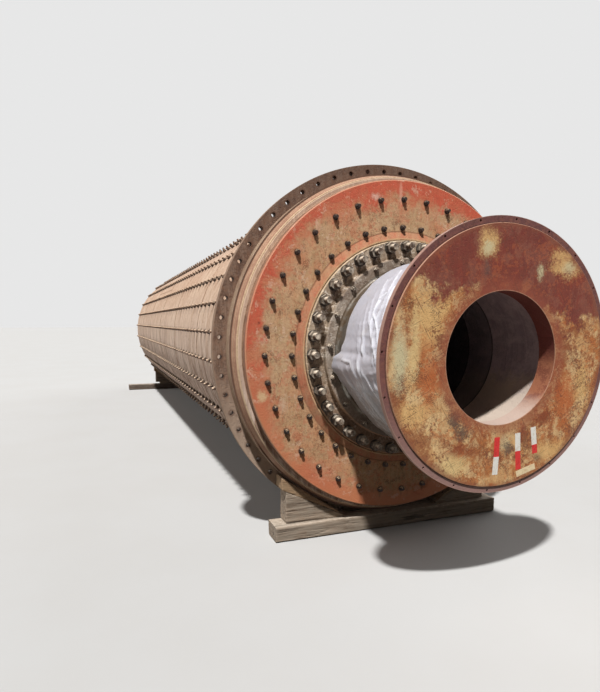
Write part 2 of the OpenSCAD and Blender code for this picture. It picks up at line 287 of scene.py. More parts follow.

# %% [markdown]
# ## Marks round the bolts
#
# Each bolt on a circle gets a ring round its nut and a stain below it. On the heads and the
# trunnion flanges they are dark: rust and grease with painted shade of the nut in them. The group
# finds the nearest bolt of the circle from the angle alone, so it needs no list of places, only
# the circle's radius, its count and its turn.

# %% Group: bolt marks
def make_bolt_marks():
    inputs = {"Circle": 1.0, "Count": 36.0, "Turn": 0.0, "Ring": 0.06, "Drop": 0.3}
    nodes, given, wanted = new_group("bolt marks and shade", inputs, ["Ring", "Stain"])
    place = nodes.use(DRUM_PLACE)
    pitch = nodes.divide(2 * math.pi, given["Count"])
    turned = nodes.divide(nodes.minus(place["Angle"], given["Turn"]), pitch)
    nearest = nodes.math("ADD", nodes.times(nodes.math("ROUND", turned), pitch), given["Turn"])
    bolt_across = nodes.times(nodes.math("COSINE", nearest), given["Circle"])
    bolt_up = nodes.times(nodes.math("SINE", nearest), given["Circle"])
    across, up = nodes.minus(place["Across"], bolt_across), nodes.minus(place["Up"], bolt_up)
    rough = nodes.wander(0.03, nodes.place(), 28.0, 3.0)
    away = nodes.plus(nodes.hypot(across, up), rough)
    ring = nodes.ramp(away, nodes.times(given["Ring"], 0.55), given["Ring"], 1.0, 0.0)
    below = nodes.ramp(up, nodes.times(given["Drop"], -1.0), nodes.times(given["Drop"], -0.6), 0.0, 1.0)
    under = nodes.ramp(up, -0.01, 0.01, 1.0, 0.0)
    reach = nodes.ramp(up, nodes.times(given["Drop"], -1.0), 0.0, 0.006, 0.032)
    aside = nodes.absolute(nodes.plus(across, nodes.times(rough, 0.5)))
    narrow = nodes.ramp(aside, nodes.times(reach, 0.45), reach, 1.0, 0.0)
    nodes.feed(ring, wanted["Ring"])
    nodes.feed(nodes.times(nodes.times(below, under), narrow), wanted["Stain"])
    return nodes.tree


BOLT_MARKS_AND_SHADE = make_bolt_marks()

# %% [markdown]
# ## Dust on what faces up
#
# A yard's dust settles on upper faces and in the lee of ridges. The mask follows how far a face
# looks up, broken by noise, and is shared by the nuts, the flanges and the timbers.

# %% Group: settled dust
def make_settled_dust():
    inputs = {"Amount": 0.5}
    nodes, given, wanted = new_group("settled dust", inputs, ["Mask"])
    facing = nodes.split(nodes.add("ShaderNodeNewGeometry").outputs["Normal"])[2]
    broken = nodes.noise(nodes.place(), 24.0, 5.0, 0.65)
    more = nodes.math("MULTIPLY_ADD", given["Amount"], 0.8, -0.8)
    level = nodes.plus(nodes.times(facing, 0.55), broken, more)
    nodes.feed(nodes.ramp(level, 0.25, 0.75), wanted["Mask"])
    return nodes.tree


SETTLED_DUST = make_settled_dust()

# %% [markdown]
# ## One way to end a material
#
# Shaders stay in the material itself, so each one ends with a Principled BSDF, a Bump that takes
# the height, and the output. The numbers that are the same all over a surface are set on the
# shader's own sockets.

# %% Material starter
class Finish(Nodes):
    """The nodes of one material, with the shared groups as plain calls."""

    def blotches(self, where, scale, cover=0.5, softness=0.14):
        return self.use(BLOTCHES, Vector=where, Scale=scale, Cover=cover, Softness=softness)["Mask"]

    def run_off(self, where, scale, length):
        return self.use(RUN_OFF, Vector=where, Scale=scale, Length=length)["Mask"]

    def crust(self, where, grain, clump, cover):
        return self.use(CRUST, Vector=where, Grain=grain, Clump=clump, Cover=cover)["Mask"]

    def grit(self, where, grain, pitting):
        return self.use(GRIT, Vector=where, Grain=grain, Pitting=pitting)["Height"]

    def dust(self, amount):
        return self.use(SETTLED_DUST, Amount=amount)["Mask"]

    def slice(self, where, depth):
        """The place on a face square to the axis, read at a depth of its own."""
        return self.vector(*self.split(where)[1:], depth)

    def coats(self, color, *coats):
        """Lays coats over a colour one after another. Each is (mask, strength, colour)."""
        for mask, strength, tint in coats:
            color = self.mix(self.times(mask, strength), color, tint)
        return color


def new_material(name):
    material = bpy.data.materials.new(name)
    material.use_nodes = True
    material.node_tree.nodes.clear()
    return material, Finish(material.node_tree)


def end_material(nodes, color, roughness, height=None, depth=0.003, strength=0.6, **plain):
    """Joins colour, roughness and bump to a Principled BSDF. plain holds its other sockets."""
    sockets = {"Base Color": color, "Roughness": roughness}
    sockets.update({name.replace("_", " "): value for name, value in plain.items()})
    shader = nodes.add("ShaderNodeBsdfPrincipled", sockets)
    if height is not None:
        bump = nodes.add("ShaderNodeBump", {"Strength": strength, "Distance": depth, "Height": height})
        nodes.feed(bump.outputs[0], shader.inputs["Normal"])
    output = nodes.add("ShaderNodeOutputMaterial")
    nodes.feed(shader.outputs[0], output.inputs["Surface"])
    return shader


def dress(material, *names):
    for name in names:
        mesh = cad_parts[name].data
        if not mesh.materials:
            mesh.materials.append(material)
        for index in range(len(mesh.materials)):
            mesh.materials[index] = material


def both_ends(piece):
    return [f"near_{piece}", f"far_{piece}"]


# %% [markdown]
# ## Shell: pinkish dust over brown steel
#
# The shell's upper half carries years of pale cement dust with faint vertical streaks, and its
# belly is bare brown steel. Each liner bolt leaves a dark run below it. The streak pattern is
# drawn out up and down, so it falls down the sides as rain does.

# %% Material: shell plate
BOLT_ROWS = 32
BOLT_PITCH = 0.250
BOLT_FIRST_BACK = 0.700    # from the head's face back to the first bolt of a row
BOLT_LAST_IN = 0.180       # from the shell's far end in to the last one, at least
FIRST_BOLT = FACE - BOLT_FIRST_BACK
BOLTS_PER_ROW = int((FIRST_BOLT + SHELL_END - BOLT_LAST_IN) / BOLT_PITCH) + 1
print(f"{BOLT_ROWS} rows of {BOLTS_PER_ROW} liner bolts")


def make_shell_plate():
    material, nodes = new_material("shell plate")
    place = nodes.use(DRUM_PLACE)
    where = nodes.place()
    patches = nodes.blotches(where, 0.9, softness=0.12)
    streaks = nodes.run_off(where, scale=9.0, length=14.0)
    thin = nodes.run_off(where, scale=38.0, length=10.0)
    dust = nodes.mix(patches, srgb(208, 176, 150), srgb(222, 194, 168))
    dust = nodes.mix(nodes.times(streaks, 0.55), dust, srgb(184, 148, 120))
    steel = nodes.mix(streaks, srgb(132, 100, 82), srgb(170, 138, 118))
    facing = nodes.divide(place["Up"], SHELL_RADIUS)
    ragged = nodes.wander(0.9, where, 2.2, 5.0, 0.65)
    dusty = nodes.ramp(nodes.plus(facing, ragged), -0.42, 0.16)
    color = nodes.mix(dusty, steel, dust)
    # Run-off below the rows of liner bolts, on both sides of the drum
    row_pitch = 2 * math.pi / BOLT_ROWS
    turned = nodes.minus(nodes.divide(place["Angle"], row_pitch), 0.5)
    arc = nodes.times(nodes.off_whole(turned), row_pitch * SHELL_RADIUS)
    side = nodes.math("SIGN", place["Across"])
    below = nodes.times(arc, nodes.times(side, -1.0))
    stepped = nodes.divide(nodes.minus(place["Along"], FIRST_BOLT), BOLT_PITCH)
    beside = nodes.times(nodes.off_whole(stepped), BOLT_PITCH)
    wobble = nodes.wander(0.035, where, 14.0, 3.0)
    narrow = nodes.ramp(nodes.absolute(nodes.plus(beside, wobble)), 0.006, 0.034, 1.0, 0.0)
    reach = nodes.times(nodes.ramp(below, -0.01, 0.01), nodes.ramp(below, 0.02, 0.20, 1.0, 0.0))
    run = nodes.times(nodes.times(narrow, reach), nodes.ramp(streaks, 0.2, 0.9, 0.25, 0.9))
    color = nodes.mix(nodes.times(run, 0.7), color, srgb(112, 78, 58))
    ring = nodes.hypot(arc, beside)
    color = nodes.mix(nodes.ramp(ring, 0.030, 0.052, 0.55, 0.0), color, srgb(120, 86, 64))
    color = nodes.mix(nodes.times(thin, 0.45), color, srgb(146, 106, 78))
    x, y, z = nodes.split(where)
    drips = nodes.run_off(nodes.vector(nodes.plus(x, 5.1), y, z), scale=11.0, length=12.0)
    pale_runs = nodes.times(nodes.ramp(facing, 0.55, -0.1, 0.0, 0.75), drips)
    color = nodes.mix(pale_runs, color, srgb(240, 216, 196))
    color = nodes.mix(nodes.ramp(facing, 0.45, 0.95, 0.0, 0.35), color, srgb(176, 152, 138))
    # Rust freckles where the dust has gone
    freckles = nodes.blotches(where, 16.0, cover=0.16, softness=0.04)
    color = nodes.mix(nodes.times(freckles, 0.45), color, srgb(128, 74, 46))
    height = nodes.grit(where, grain=90.0, pitting=0.35)
    rough = nodes.ramp(thin, 0.0, 1.0, 0.93, 0.78)
    end_material(nodes, color, rough, height, depth=0.004, strength=0.5)
    return material


# %% [markdown]
# ## Liner bolts with Geometry Nodes
#
# Thirty-two rows of bolts hold the liner plates, one every 250 mm along each row. They could be
# sixteen hundred copied objects, but one tree makes them all: it builds a washer, a nut and the
# stub of a stud from named sizes, finds each place from the bolt's number, and sets the bolt
# square to the shell. A small random turn and length keep the rows from looking machined.

# %% Bolt rows
class GeometryTree(Nodes):
    """A Geometry Nodes tree with named inputs and one mesh output."""

    def __init__(self, name, inputs):
        super().__init__(bpy.data.node_groups.new(name, "GeometryNodeTree"))
        self.sockets = {}
        for label, (kind, default) in inputs.items():
            socket = self.tree.interface.new_socket(
                label, in_out="INPUT", socket_type="NodeSocket" + kind)
            if default is not None:
                socket.default_value = default
            self.sockets[label] = socket.identifier
        self.tree.interface.new_socket("Mesh", in_out="OUTPUT", socket_type="NodeSocketGeometry")
        self.given = self.add("NodeGroupInput").outputs
        self.wanted = self.add("NodeGroupOutput").inputs

    def random(self, low, high, seed):
        node = self.add("FunctionNodeRandomValue", data_type="FLOAT")
        for label, value in (("Min", low), ("Max", high), ("Seed", seed)):
            socket = next(s for s in node.inputs if s.name == label and s.enabled)
            self.feed(value, socket)
        return next(s for s in node.outputs if s.enabled)

    def cylinder(self, sides, radius, depth, base, top=None):
        """A closed prism of this many sides that stands on the height base, or a cone towards top."""
        if top is None:
            made = self.add("GeometryNodeMeshCylinder",
                            {"Vertices": sides, "Radius": radius, "Depth": depth})
            lift = self.math("MULTIPLY_ADD", depth, 0.5, base)
        else:
            made = self.add("GeometryNodeMeshCone", {
                "Vertices": sides, "Radius Bottom": radius, "Radius Top": top, "Depth": depth})
            lift = base
        moved = self.add("GeometryNodeTransform", {"Geometry": made.outputs["Mesh"],
                                                   "Translation": self.vector(0.0, 0.0, lift)})
        return moved.outputs[0]

    def fastener(self, chamfered):
        """Washer, nut and the stub of the stud, standing on the plane z = 0."""
        given = self.given
        washer = self.times(given["Stud"], 0.13)
        corner = self.divide(given["Nut"], 2 * math.cos(math.radians(30)))
        pieces = [self.cylinder(10, self.times(given["Nut"], 0.62), washer, 0.0)]
        if chamfered:
            straight = self.times(given["Nut height"], 0.82)
            pieces.append(self.cylinder(6, corner, straight, washer))
            pieces.append(self.cylinder(6, corner, self.times(given["Nut height"], 0.18),
                                        self.plus(washer, straight), self.times(corner, 0.84)))
        else:
            pieces.append(self.cylinder(6, corner, given["Nut height"], washer))
        nut_top = self.plus(washer, given["Nut height"])
        pieces.append(self.cylinder(8, self.times(given["Stud"], 0.5), given["Thread"], nut_top))
        join = self.add("GeometryNodeJoinGeometry")
        for piece in reversed(pieces):
            self.tree.links.new(piece, join.inputs[0])
        return join.outputs[0]

    def set_out(self, count, position, normal, instance):
        """Puts the instance on count points, standing along normal, and ends the tree."""
        points = self.add("GeometryNodePoints", {"Count": count, "Position": position})
        aligned = self.add("FunctionNodeAlignRotationToVector", {"Vector": normal}, axis="Z")
        spun = self.add("FunctionNodeRotateRotation", rotation_space="LOCAL")
        self.feed(aligned.outputs[0], spun.inputs[0])
        turn = self.add("FunctionNodeAxisAngleToRotation", {"Axis": (0.0, 0.0, 1.0)})
        self.feed(self.random(0.0, math.pi, self.given["Seed"]), turn.inputs["Angle"])
        self.feed(turn.outputs[0], spun.inputs[1])
        tall = self.vector(1.0, 1.0, self.random(0.86, 1.0, self.plus(self.given["Seed"], 1)))
        placed = self.add("GeometryNodeInstanceOnPoints", {
            "Points": points.outputs[0], "Instance": instance,
            "Rotation": spun.outputs[0], "Scale": tall})
        real = self.add("GeometryNodeRealizeInstances", {"Geometry": placed.outputs[0]})
        finish = self.add("GeometryNodeSetMaterial", {"Geometry": real.outputs[0],
                                                      "Material": self.given["Material"]})
        self.tree.links.new(finish.outputs[0], self.wanted[0])


FASTENER_INPUTS = {
    "Nut": ("Float", 0.046), "Nut height": ("Float", 0.024), "Stud": ("Float", 0.030),
    "Thread": ("Float", 0.028), "Seed": ("Int", 1), "Material": ("Material", None),
}


def make_row_tree():
    tree = GeometryTree("liner bolt rows", {
        "Rows": ("Int", 32), "Per row": ("Int", 50), "Pitch": ("Float", 0.25),
        "First": ("Float", 6.0), "Shell radius": ("Float", 1.64), "Axis height": ("Float", 1.857),
        **FASTENER_INPUTS})
    given = tree.given
    number = tree.add("GeometryNodeInputIndex").outputs[0]
    row = tree.math("FLOOR", tree.divide(number, given["Per row"]))
    step = tree.math("FLOORED_MODULO", number, given["Per row"])
    share = tree.divide(tree.plus(row, 0.5), given["Rows"])
    angle = tree.times(share, 2 * math.pi)
    y, z = tree.math("COSINE", angle), tree.math("SINE", angle)
    x = tree.minus(given["First"], tree.times(step, given["Pitch"]))
    position = tree.vector(x, tree.times(y, given["Shell radius"]),
                           tree.math("MULTIPLY_ADD", z, given["Shell radius"], given["Axis height"]))
    tree.set_out(tree.times(given["Rows"], given["Per row"]), position, tree.vector(0.0, y, z),
                 tree.fastener(chamfered=False))
    return tree


def new_object(name, data):
    """An object with this data, linked to the scene."""
    made = bpy.data.objects.new(name, data)
    bpy.context.collection.objects.link(made)
    return made


def worked_out(source):
    """The mesh that an object's modifiers make of it. The object itself is removed."""
    shown = source.evaluated_get(bpy.context.evaluated_depsgraph_get())
    mesh = bpy.data.meshes.new_from_object(shown)
    bpy.data.objects.remove(source)
    return mesh


def grow(tree, name, slot, **values):
    """Runs a tree with these inputs and keeps the result as a plain mesh that rides on the drum."""
    source = new_object(name + "_source", bpy.data.meshes.new(name + "_source"))
    modifier = source.modifiers.new("tree", "NODES")
    modifier.node_group = tree.tree
    for label, value in values.items():
        modifier[tree.sockets[label.replace("_", " ")]] = value
    return add_piece(name, worked_out(source))


def add_piece(name, mesh, material=None):
    """Links a finished mesh as a piece of the object, at the origin, in its material slot."""
    mesh.name = name
    if material is not None:
        mesh.materials.append(material)
    piece = new_object(name, mesh)
    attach(piece, "root")
    mesh.calc_loop_triangles()
    print(f"{name}: {len(mesh.loop_triangles)} triangles")
    return piece


# %% [markdown]
# ## Finish of nuts and studs
#
# The nuts are dark rusty iron with pale dust on their upper flats, so in sunlight each one shows a
# light cap over a dark body. The settled dust group does that, and old grease and painted shade
# darken the foot.

# %% Material: dusty fasteners
def make_fastener(name, iron, rust, dust, amount, measure, seat, tall):
    """Iron with dust above, and old grease and painted shade at the foot, which stands at seat along the
    measure.
    """
    material, nodes = new_material(name)
    where = nodes.place()
    rusty = nodes.blotches(where, 22.0, softness=0.1)
    color = nodes.mix(rusty, iron, rust)
    settled = nodes.dust(amount)
    color = nodes.mix(settled, color, dust)
    stands = nodes.minus(nodes.absolute(nodes.use(DRUM_PLACE)[measure]), seat)
    # Painted shade with old grease: the iron darkens towards the seat at the nut's foot
    color = nodes.mix(nodes.ramp(stands, 0.0, tall, 0.85, 0.0), color, srgb(26, 18, 14))
    height = nodes.grit(where, grain=240.0, pitting=0.6)
    end_material(nodes, color, nodes.ramp(settled, 0.0, 1.0, 0.68, 0.95), height, depth=0.003)
    return material


shell_bolt_finish = make_fastener(
    "shell bolts", srgb(88, 64, 50), srgb(124, 88, 66), srgb(228, 200, 172), 0.82,
    "Radius", SHELL_RADIUS, 0.050)
head_bolt_finish = make_fastener(
    "head studs", srgb(30, 19, 14), srgb(52, 30, 20), srgb(214, 186, 150), 0.48,
    "Along", FACE, 0.036)
trunnion_nut_finish = make_fastener(
    "trunnion nuts", srgb(50, 38, 30), srgb(88, 64, 46), srgb(230, 214, 192), 0.90,
    "Along", FLANGE_FACE, 0.085)

grow(
    make_row_tree(), "liner_bolts", "studs",
    Rows=BOLT_ROWS, Per_row=BOLTS_PER_ROW, Pitch=BOLT_PITCH, First=FIRST_BOLT,
    Shell_radius=SHELL_RADIUS, Axis_height=AXIS, Material=shell_bolt_finish, Seed=7)

# %% [markdown]
# ## Studs on the heads
#
# Two circles of studs hold the head liners, 36 in each. The second tree sets the same fastener out
# on a circle that faces along the axis, and a mirrored circle serves the far head.

# %% Stud circles
HEAD_CIRCLES = ((1.422, 1.2), (1.163, 1.8))
HEAD_STUDS = 36


def make_circle_tree():
    tree = GeometryTree("stud circle", {
        "Count": ("Int", 36), "Circle": ("Float", 1.4), "Turn": ("Float", 0.0),
        "Face": ("Float", 6.675), "Outwards": ("Float", 1.0), "Axis height": ("Float", 1.857),
        **FASTENER_INPUTS})
    given = tree.given
    number = tree.add("GeometryNodeInputIndex").outputs[0]
    share = tree.divide(number, given["Count"])
    angle = tree.plus(tree.times(share, 2 * math.pi), given["Turn"])
    position = tree.vector(
        given["Face"], tree.times(tree.math("COSINE", angle), given["Circle"]),
        tree.math("MULTIPLY_ADD", tree.math("SINE", angle), given["Circle"], given["Axis height"]))
    tree.set_out(given["Count"], position, tree.vector(given["Outwards"], 0.0, 0.0),
                 tree.fastener(chamfered=True))
    return tree


circle_tree = make_circle_tree()
for end, outwards in (("near", 1.0), ("far", -1.0)):
    for ring, (circle, turn) in zip(("outer", "inner"), HEAD_CIRCLES):
        grow(circle_tree, f"{end}_{ring}_head_studs", "studs",
             Count=HEAD_STUDS, Circle=circle, Turn=math.radians(turn), Face=outwards * FACE,
             Outwards=outwards, Axis_height=AXIS, Nut=0.043, Nut_height=0.027, Stud=0.030,
             Thread=0.018, Seed=11 if ring == "outer" else 13, Material=head_bolt_finish)

dress(make_shell_plate(), *[f"shell_course_{i}" for i in range(1, 7)])
dress(trunnion_nut_finish, *both_ends("trunnion_studs"), *both_ends("boss_studs"))

# %% [markdown]
# ## Patches at chosen places
#
# Some marks are too plain to see to leave to chance, such as the bare spots in the end plate's
# primer. Each patch is a named place on the face, a size and a raggedness: the distance from the
# place is bent by noise and cut, which gives a ragged spot where the real one is.

# %% Group: ragged patch
def make_patch():
    inputs = {"Across": 0.0, "Up": 0.0, "Width": 0.2, "Height": 0.2, "Ragged": 0.5}
    nodes, given, wanted = new_group("ragged patch", inputs, ["Mask"])
    place = nodes.use(DRUM_PLACE)
    x = nodes.divide(nodes.minus(place["Across"], given["Across"]), given["Width"])
    z = nodes.divide(nodes.minus(place["Up"], given["Up"]), given["Height"])
    away = nodes.hypot(x, z)
    broad = nodes.noise(nodes.place(), 7.0, 5.0, 0.7)
    fine = nodes.noise(nodes.place(), 60.0, 4.0, 0.7)
    bent = nodes.plus(nodes.times(broad, 1.3), nodes.times(fine, 1.0), -1.15)
    away = nodes.plus(away, nodes.times(bent, nodes.times(given["Ragged"], 3.2)))
    specks = nodes.ramp(nodes.noise(nodes.place(), 170.0, 3.0, 0.7), 0.32, 0.50, 0.55, 1.0)
    nodes.feed(nodes.times(nodes.ramp(away, 0.25, 1.2, 1.0, 0.0), specks), wanted["Mask"])
    return nodes.tree


PATCH = make_patch()


def add_patches(nodes, color, patches):
    """Lays patches over a colour: (across, up, width, height, ragged, strength, colour) each."""
    for across, up, width, height, ragged, strength, tint in patches:
        mask = nodes.use(PATCH, Across=across, Up=up, Width=width, Height=height, Ragged=ragged)
        color = nodes.coats(color, (mask["Mask"], strength, tint))
    return color


# %% [markdown]
# ## Heads: old red paint wearing back to dust
#
# The heads were painted red. The paint survives in a ragged band along the rim and on the raised
# ring, while the middle has weathered to tan and olive dust with rain streaks. The paint's cover
# is a number that grows towards the rim, so the blotches close up there by themselves.

# %% Material: painted head
OLD_RED = srgb(212, 88, 62)


def make_painted_head():
    material, nodes = new_material("painted head")
    place, where = nodes.use(DRUM_PLACE), nodes.place()
    broad = nodes.blotches(where, 1.6)
    patchy = nodes.blotches(where, 6.0, cover=0.45, softness=0.12)
    speckle = nodes.blotches(where, 34.0, cover=0.40, softness=0.10)
    streaks = nodes.run_off(where, scale=26.0, length=9.0)
    flecks = nodes.crust(where, grain=85.0, clump=7.0, cover=0.26)
    pale = nodes.crust(nodes.slice(where, 1.9), grain=40.0, clump=5.0, cover=0.20)
    color = nodes.mix(broad, srgb(210, 171, 129), srgb(207, 150, 106))
    color = nodes.coats(
        color,
        (patchy, 0.6, srgb(180, 154, 112)),
        (speckle, 0.55, srgb(166, 102, 70)),
        (streaks, 0.4, srgb(212, 176, 138)),
        (pale, 0.55, srgb(226, 194, 164)),
        (flecks, 0.6, srgb(118, 74, 50)))
    # Paint: thin orange wash first, then the full red towards the rim
    rim = nodes.ramp(place["Radius"], 1.30, 1.62, 0.0, 0.80)
    top = nodes.ramp(place["Up"], 0.95, 1.55, 0.0, 0.38)
    right = nodes.ramp(place["Across"], 0.1, 1.3, 0.0, 0.34)
    left = nodes.ramp(place["Across"], -0.9, -1.5, 0.0, 0.20)
    low = nodes.ramp(place["Up"], -0.8, -1.5, 0.0, 0.30)
    cover = nodes.plus(rim, top, right, left, low)
    wash = nodes.blotches(where, 2.6, cover=cover, softness=0.16)
    left_red = nodes.crust(where, grain=14.0, clump=2.4, cover=0.30)
    color = nodes.coats(color, (wash, 0.75, srgb(208, 118, 82)), (left_red, 0.35, srgb(204, 104, 72)))
    full = nodes.minus(cover, 0.22)
    paint = nodes.blotches(where, 4.2, cover=full, softness=0.10)
    red = nodes.mix(nodes.times(patchy, 0.6), OLD_RED, srgb(206, 112, 78))
    red = nodes.coats(
        red,
        (streaks, 0.4, srgb(180, 68, 46)),
        (speckle, 0.35, srgb(176, 92, 60)))
    red = nodes.mix(nodes.ramp(place["Up"], 0.1, -0.8, 0.0, 0.82), red, srgb(206, 134, 92))
    color = nodes.mix(nodes.times(paint, 0.86), color, red)
    # Pale scars scraped through the paint
    scars = nodes.blotches(where, 7.5, cover=0.20, softness=0.03)
    scars = nodes.times(scars, nodes.ramp(place["Radius"], 1.36, 1.46))
    color = nodes.mix(nodes.times(scars, 0.6), color, srgb(226, 180, 152))
    # The raised ring keeps its paint, and its crest is rubbed bare
    ring = nodes.times(nodes.ramp(place["Radius"], 1.050, 1.062),
                       nodes.ramp(place["Radius"], 1.122, 1.140, 1.0, 0.0))
    salmon = nodes.mix(patchy, srgb(184, 100, 72), srgb(178, 126, 92))
    salmon = nodes.coats(
        salmon,
        (speckle, 0.6, srgb(150, 86, 60)),
        (streaks, 0.35, srgb(200, 146, 110)))
    color = nodes.mix(nodes.times(ring, nodes.ramp(speckle, 0.0, 1.0, 0.78, 0.5)), color, salmon)
    crest = nodes.band(place["Radius"], 1.058, 0.007)
    foot = nodes.band(nodes.plus(place["Radius"], nodes.times(patchy, 0.006)), 1.130, 0.011)
    color = nodes.coats(color, (crest, 0.8, srgb(216, 182, 138)), (foot, 0.5, srgb(112, 76, 50)))
    # Marks round the two circles of studs: a dark ring and a short stain below each, rust with painted shade
    # of the stud
    for circle, turn in HEAD_CIRCLES:
        marks = nodes.use(BOLT_MARKS_AND_SHADE, Circle=circle, Count=float(HEAD_STUDS), Turn=math.radians(turn),
                          Ring=0.042, Drop=0.10)
        color = nodes.coats(
            color,
            (marks["Stain"], 0.3, srgb(110, 70, 48)),
            (marks["Ring"], 0.5, srgb(100, 62, 42)))
    color = add_patches(nodes, color, HEAD_PATCHES)
    # The edge of the rim is rubbed, and the side below it is darker, with painted shade that deepens low
    # down
    edge = nodes.band(place["Radius"], HEAD_RADIUS - 0.004, 0.010)
    color = nodes.mix(nodes.times(edge, 0.6), color, srgb(190, 150, 116))
    behind = nodes.ramp(nodes.absolute(place["Along"]), FACE - 0.030, FACE - 0.012, 1.0, 0.0)
    joint = nodes.mix(patchy, srgb(150, 108, 82), srgb(120, 86, 66))
    # Painted shade: the rim's side darkens towards the bottom
    joint = nodes.mix(nodes.ramp(place["Up"], 0.2, -0.8, 0.0, 0.7), joint, srgb(64, 42, 30))
    color = nodes.mix(behind, color, joint)
    height = nodes.plus(nodes.grit(where, grain=130.0, pitting=0.5), nodes.times(paint, 0.5))
    roughness = nodes.ramp(paint, 0.0, 1.0, 0.88, 0.58)
    end_material(nodes, color, roughness, height, depth=0.004, strength=0.55)
    return material


HEAD_PATCHES = (
    (-0.325, 1.423, 0.060, 0.040, 0.5, 0.8, srgb(232, 190, 168)),
    (-0.061, 1.480, 0.022, 0.120, 0.3, 0.7, srgb(236, 176, 150)),
    (-1.449, -0.403, 0.050, 0.055, 0.5, 0.8, srgb(226, 196, 150)),
    (-1.258, -0.496, 0.055, 0.080, 0.6, 0.7, srgb(216, 188, 158)),
    (-1.470, 0.263, 0.016, 0.016, 0.2, 0.8, srgb(122, 52, 32)),
    (-0.930, -1.240, 0.340, 0.200, 0.5, 0.4, srgb(206, 112, 78)),
)
dress(make_painted_head(), *both_ends("head"))

# %% [markdown]
# ## Hub ring: machined bands
#
# The ring that carries the gear flange was turned on a lathe, so its colour changes in clean
# bands along the axis and it has fine lines round it. Noise that reads only the distance along
# the axis gives those lines, and a little noise from the place breaks them up.

# %% Material: turned hub
def make_turned_hub():
    material, nodes = new_material("turned hub")
    place, where = nodes.use(DRUM_PLACE), nodes.place()
    back = nodes.minus(FACE, place["Along"])
    lines = nodes.noise(nodes.vector(back, 0.0, 0.0), 130.0, 3.0, 0.7)
    patchy = nodes.blotches(where, 3.4)
    speckle = nodes.blotches(where, 26.0, cover=0.4, softness=0.1)
    olive = nodes.mix(patchy, srgb(180, 156, 130), srgb(152, 126, 102))
    pink = nodes.mix(patchy, srgb(190, 146, 116), srgb(170, 124, 98))
    brown = nodes.mix(patchy, srgb(132, 104, 84), srgb(116, 88, 70))
    color = nodes.mix(nodes.ramp(back, 0.196, 0.206), pink, olive)
    color = nodes.mix(nodes.ramp(back, 0.352, 0.356), color, brown)
    color = nodes.mix(nodes.ramp(lines, 0.48, 0.56, 0.0, 0.75), color, srgb(104, 74, 56))
    color = nodes.mix(nodes.ramp(lines, 0.45, 0.38, 0.0, 0.7), color, srgb(226, 200, 174))
    color = nodes.mix(nodes.band(back, 0.200, 0.006), color, srgb(98, 72, 56))
    color = nodes.coats(
        color,
        (nodes.band(back, 0.176, 0.005), 0.7, srgb(208, 178, 146)),
        (nodes.ramp(back, 0.116, 0.128, 1.0, 0.0), 0.85, srgb(216, 190, 154)),
        (speckle, 0.3, srgb(126, 84, 60)))
    height = nodes.plus(nodes.times(lines, 0.8), nodes.grit(where, grain=110.0, pitting=0.3))
    roughness = nodes.ramp(patchy, 0.0, 1.0, 0.62, 0.80)
    end_material(nodes, color, roughness, height, depth=0.003, strength=0.5)
    return material


dress(make_turned_hub(), "gear_hub")

# %% [markdown]
# ## Gear flange: dark rust
#
# The flange was bolted to a gear that is gone, and has rusted to an even dark brown. It is paler
# low down, where mud has splashed it, and each hole has a darker ring round it.

# %% Material: rusty flange
GEAR_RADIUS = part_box("gear_flange")[1].y
GEAR_HOLE_INSET = 0.065    # from the flange's edge in to its circle of holes
GEAR_HOLES = 60
GEAR_TURN = math.radians(1.75)


def make_rusty_flange():
    material, nodes = new_material("rusty flange")
    place, where = nodes.use(DRUM_PLACE), nodes.place()
    broad = nodes.blotches(where, 3.0)
    fine = nodes.blotches(where, 24.0, cover=0.45, softness=0.1)
    streaks = nodes.run_off(where, scale=24.0, length=7.0)
    color = nodes.mix(broad, srgb(126, 98, 80), srgb(102, 76, 62))
    crust = nodes.crust(where, grain=70.0, clump=6.0, cover=0.30)
    low = nodes.ramp(place["Up"], 0.1, -1.1)
    color = nodes.coats(
        color,
        (fine, 0.5, srgb(138, 96, 70)),
        (streaks, 0.5, srgb(160, 134, 114)),
        (crust, 0.6, srgb(80, 52, 38)),
        (low, 0.7, srgb(196, 172, 150)))
    color = nodes.mix(nodes.ramp(place["Up"], 0.4, 1.7, 0.0, 0.5), color, srgb(84, 60, 48))
    marks = nodes.use(BOLT_MARKS_AND_SHADE, Circle=GEAR_RADIUS - GEAR_HOLE_INSET, Count=float(GEAR_HOLES),
                      Turn=GEAR_TURN, Ring=0.040, Drop=0.12)
    rim = nodes.ramp(place["Radius"], GEAR_RADIUS - 0.008, GEAR_RADIUS - 0.001)
    color = nodes.coats(
        color,
        (marks["Ring"], 0.6, srgb(92, 62, 46)),
        (marks["Stain"], 0.15, srgb(72, 46, 34)),
        (rim, 0.5, srgb(158, 128, 104)))
    height = nodes.grit(where, grain=120.0, pitting=0.7)
    roughness = nodes.ramp(fine, 0.0, 1.0, 0.72, 0.88)
    end_material(nodes, color, roughness, height, depth=0.004, strength=0.6)
    return material


dress(make_rusty_flange(), "gear_flange")

# %% [markdown]
# ## Trunnions: cast iron under yard dust
#
# The bolted flange and its boss are cast, with a coarse skin, olive-grey dust on top and a
# browner, greasier look low down. Their turned edges carry thin pale lines of painted highlight,
# and the dark ring and stain round each big nut are painted shadow of the nut over old grease.

# %% Material: dusty casting
TRUNNION_STUDS = 36
TRUNNION_TURN = math.radians(1.5)


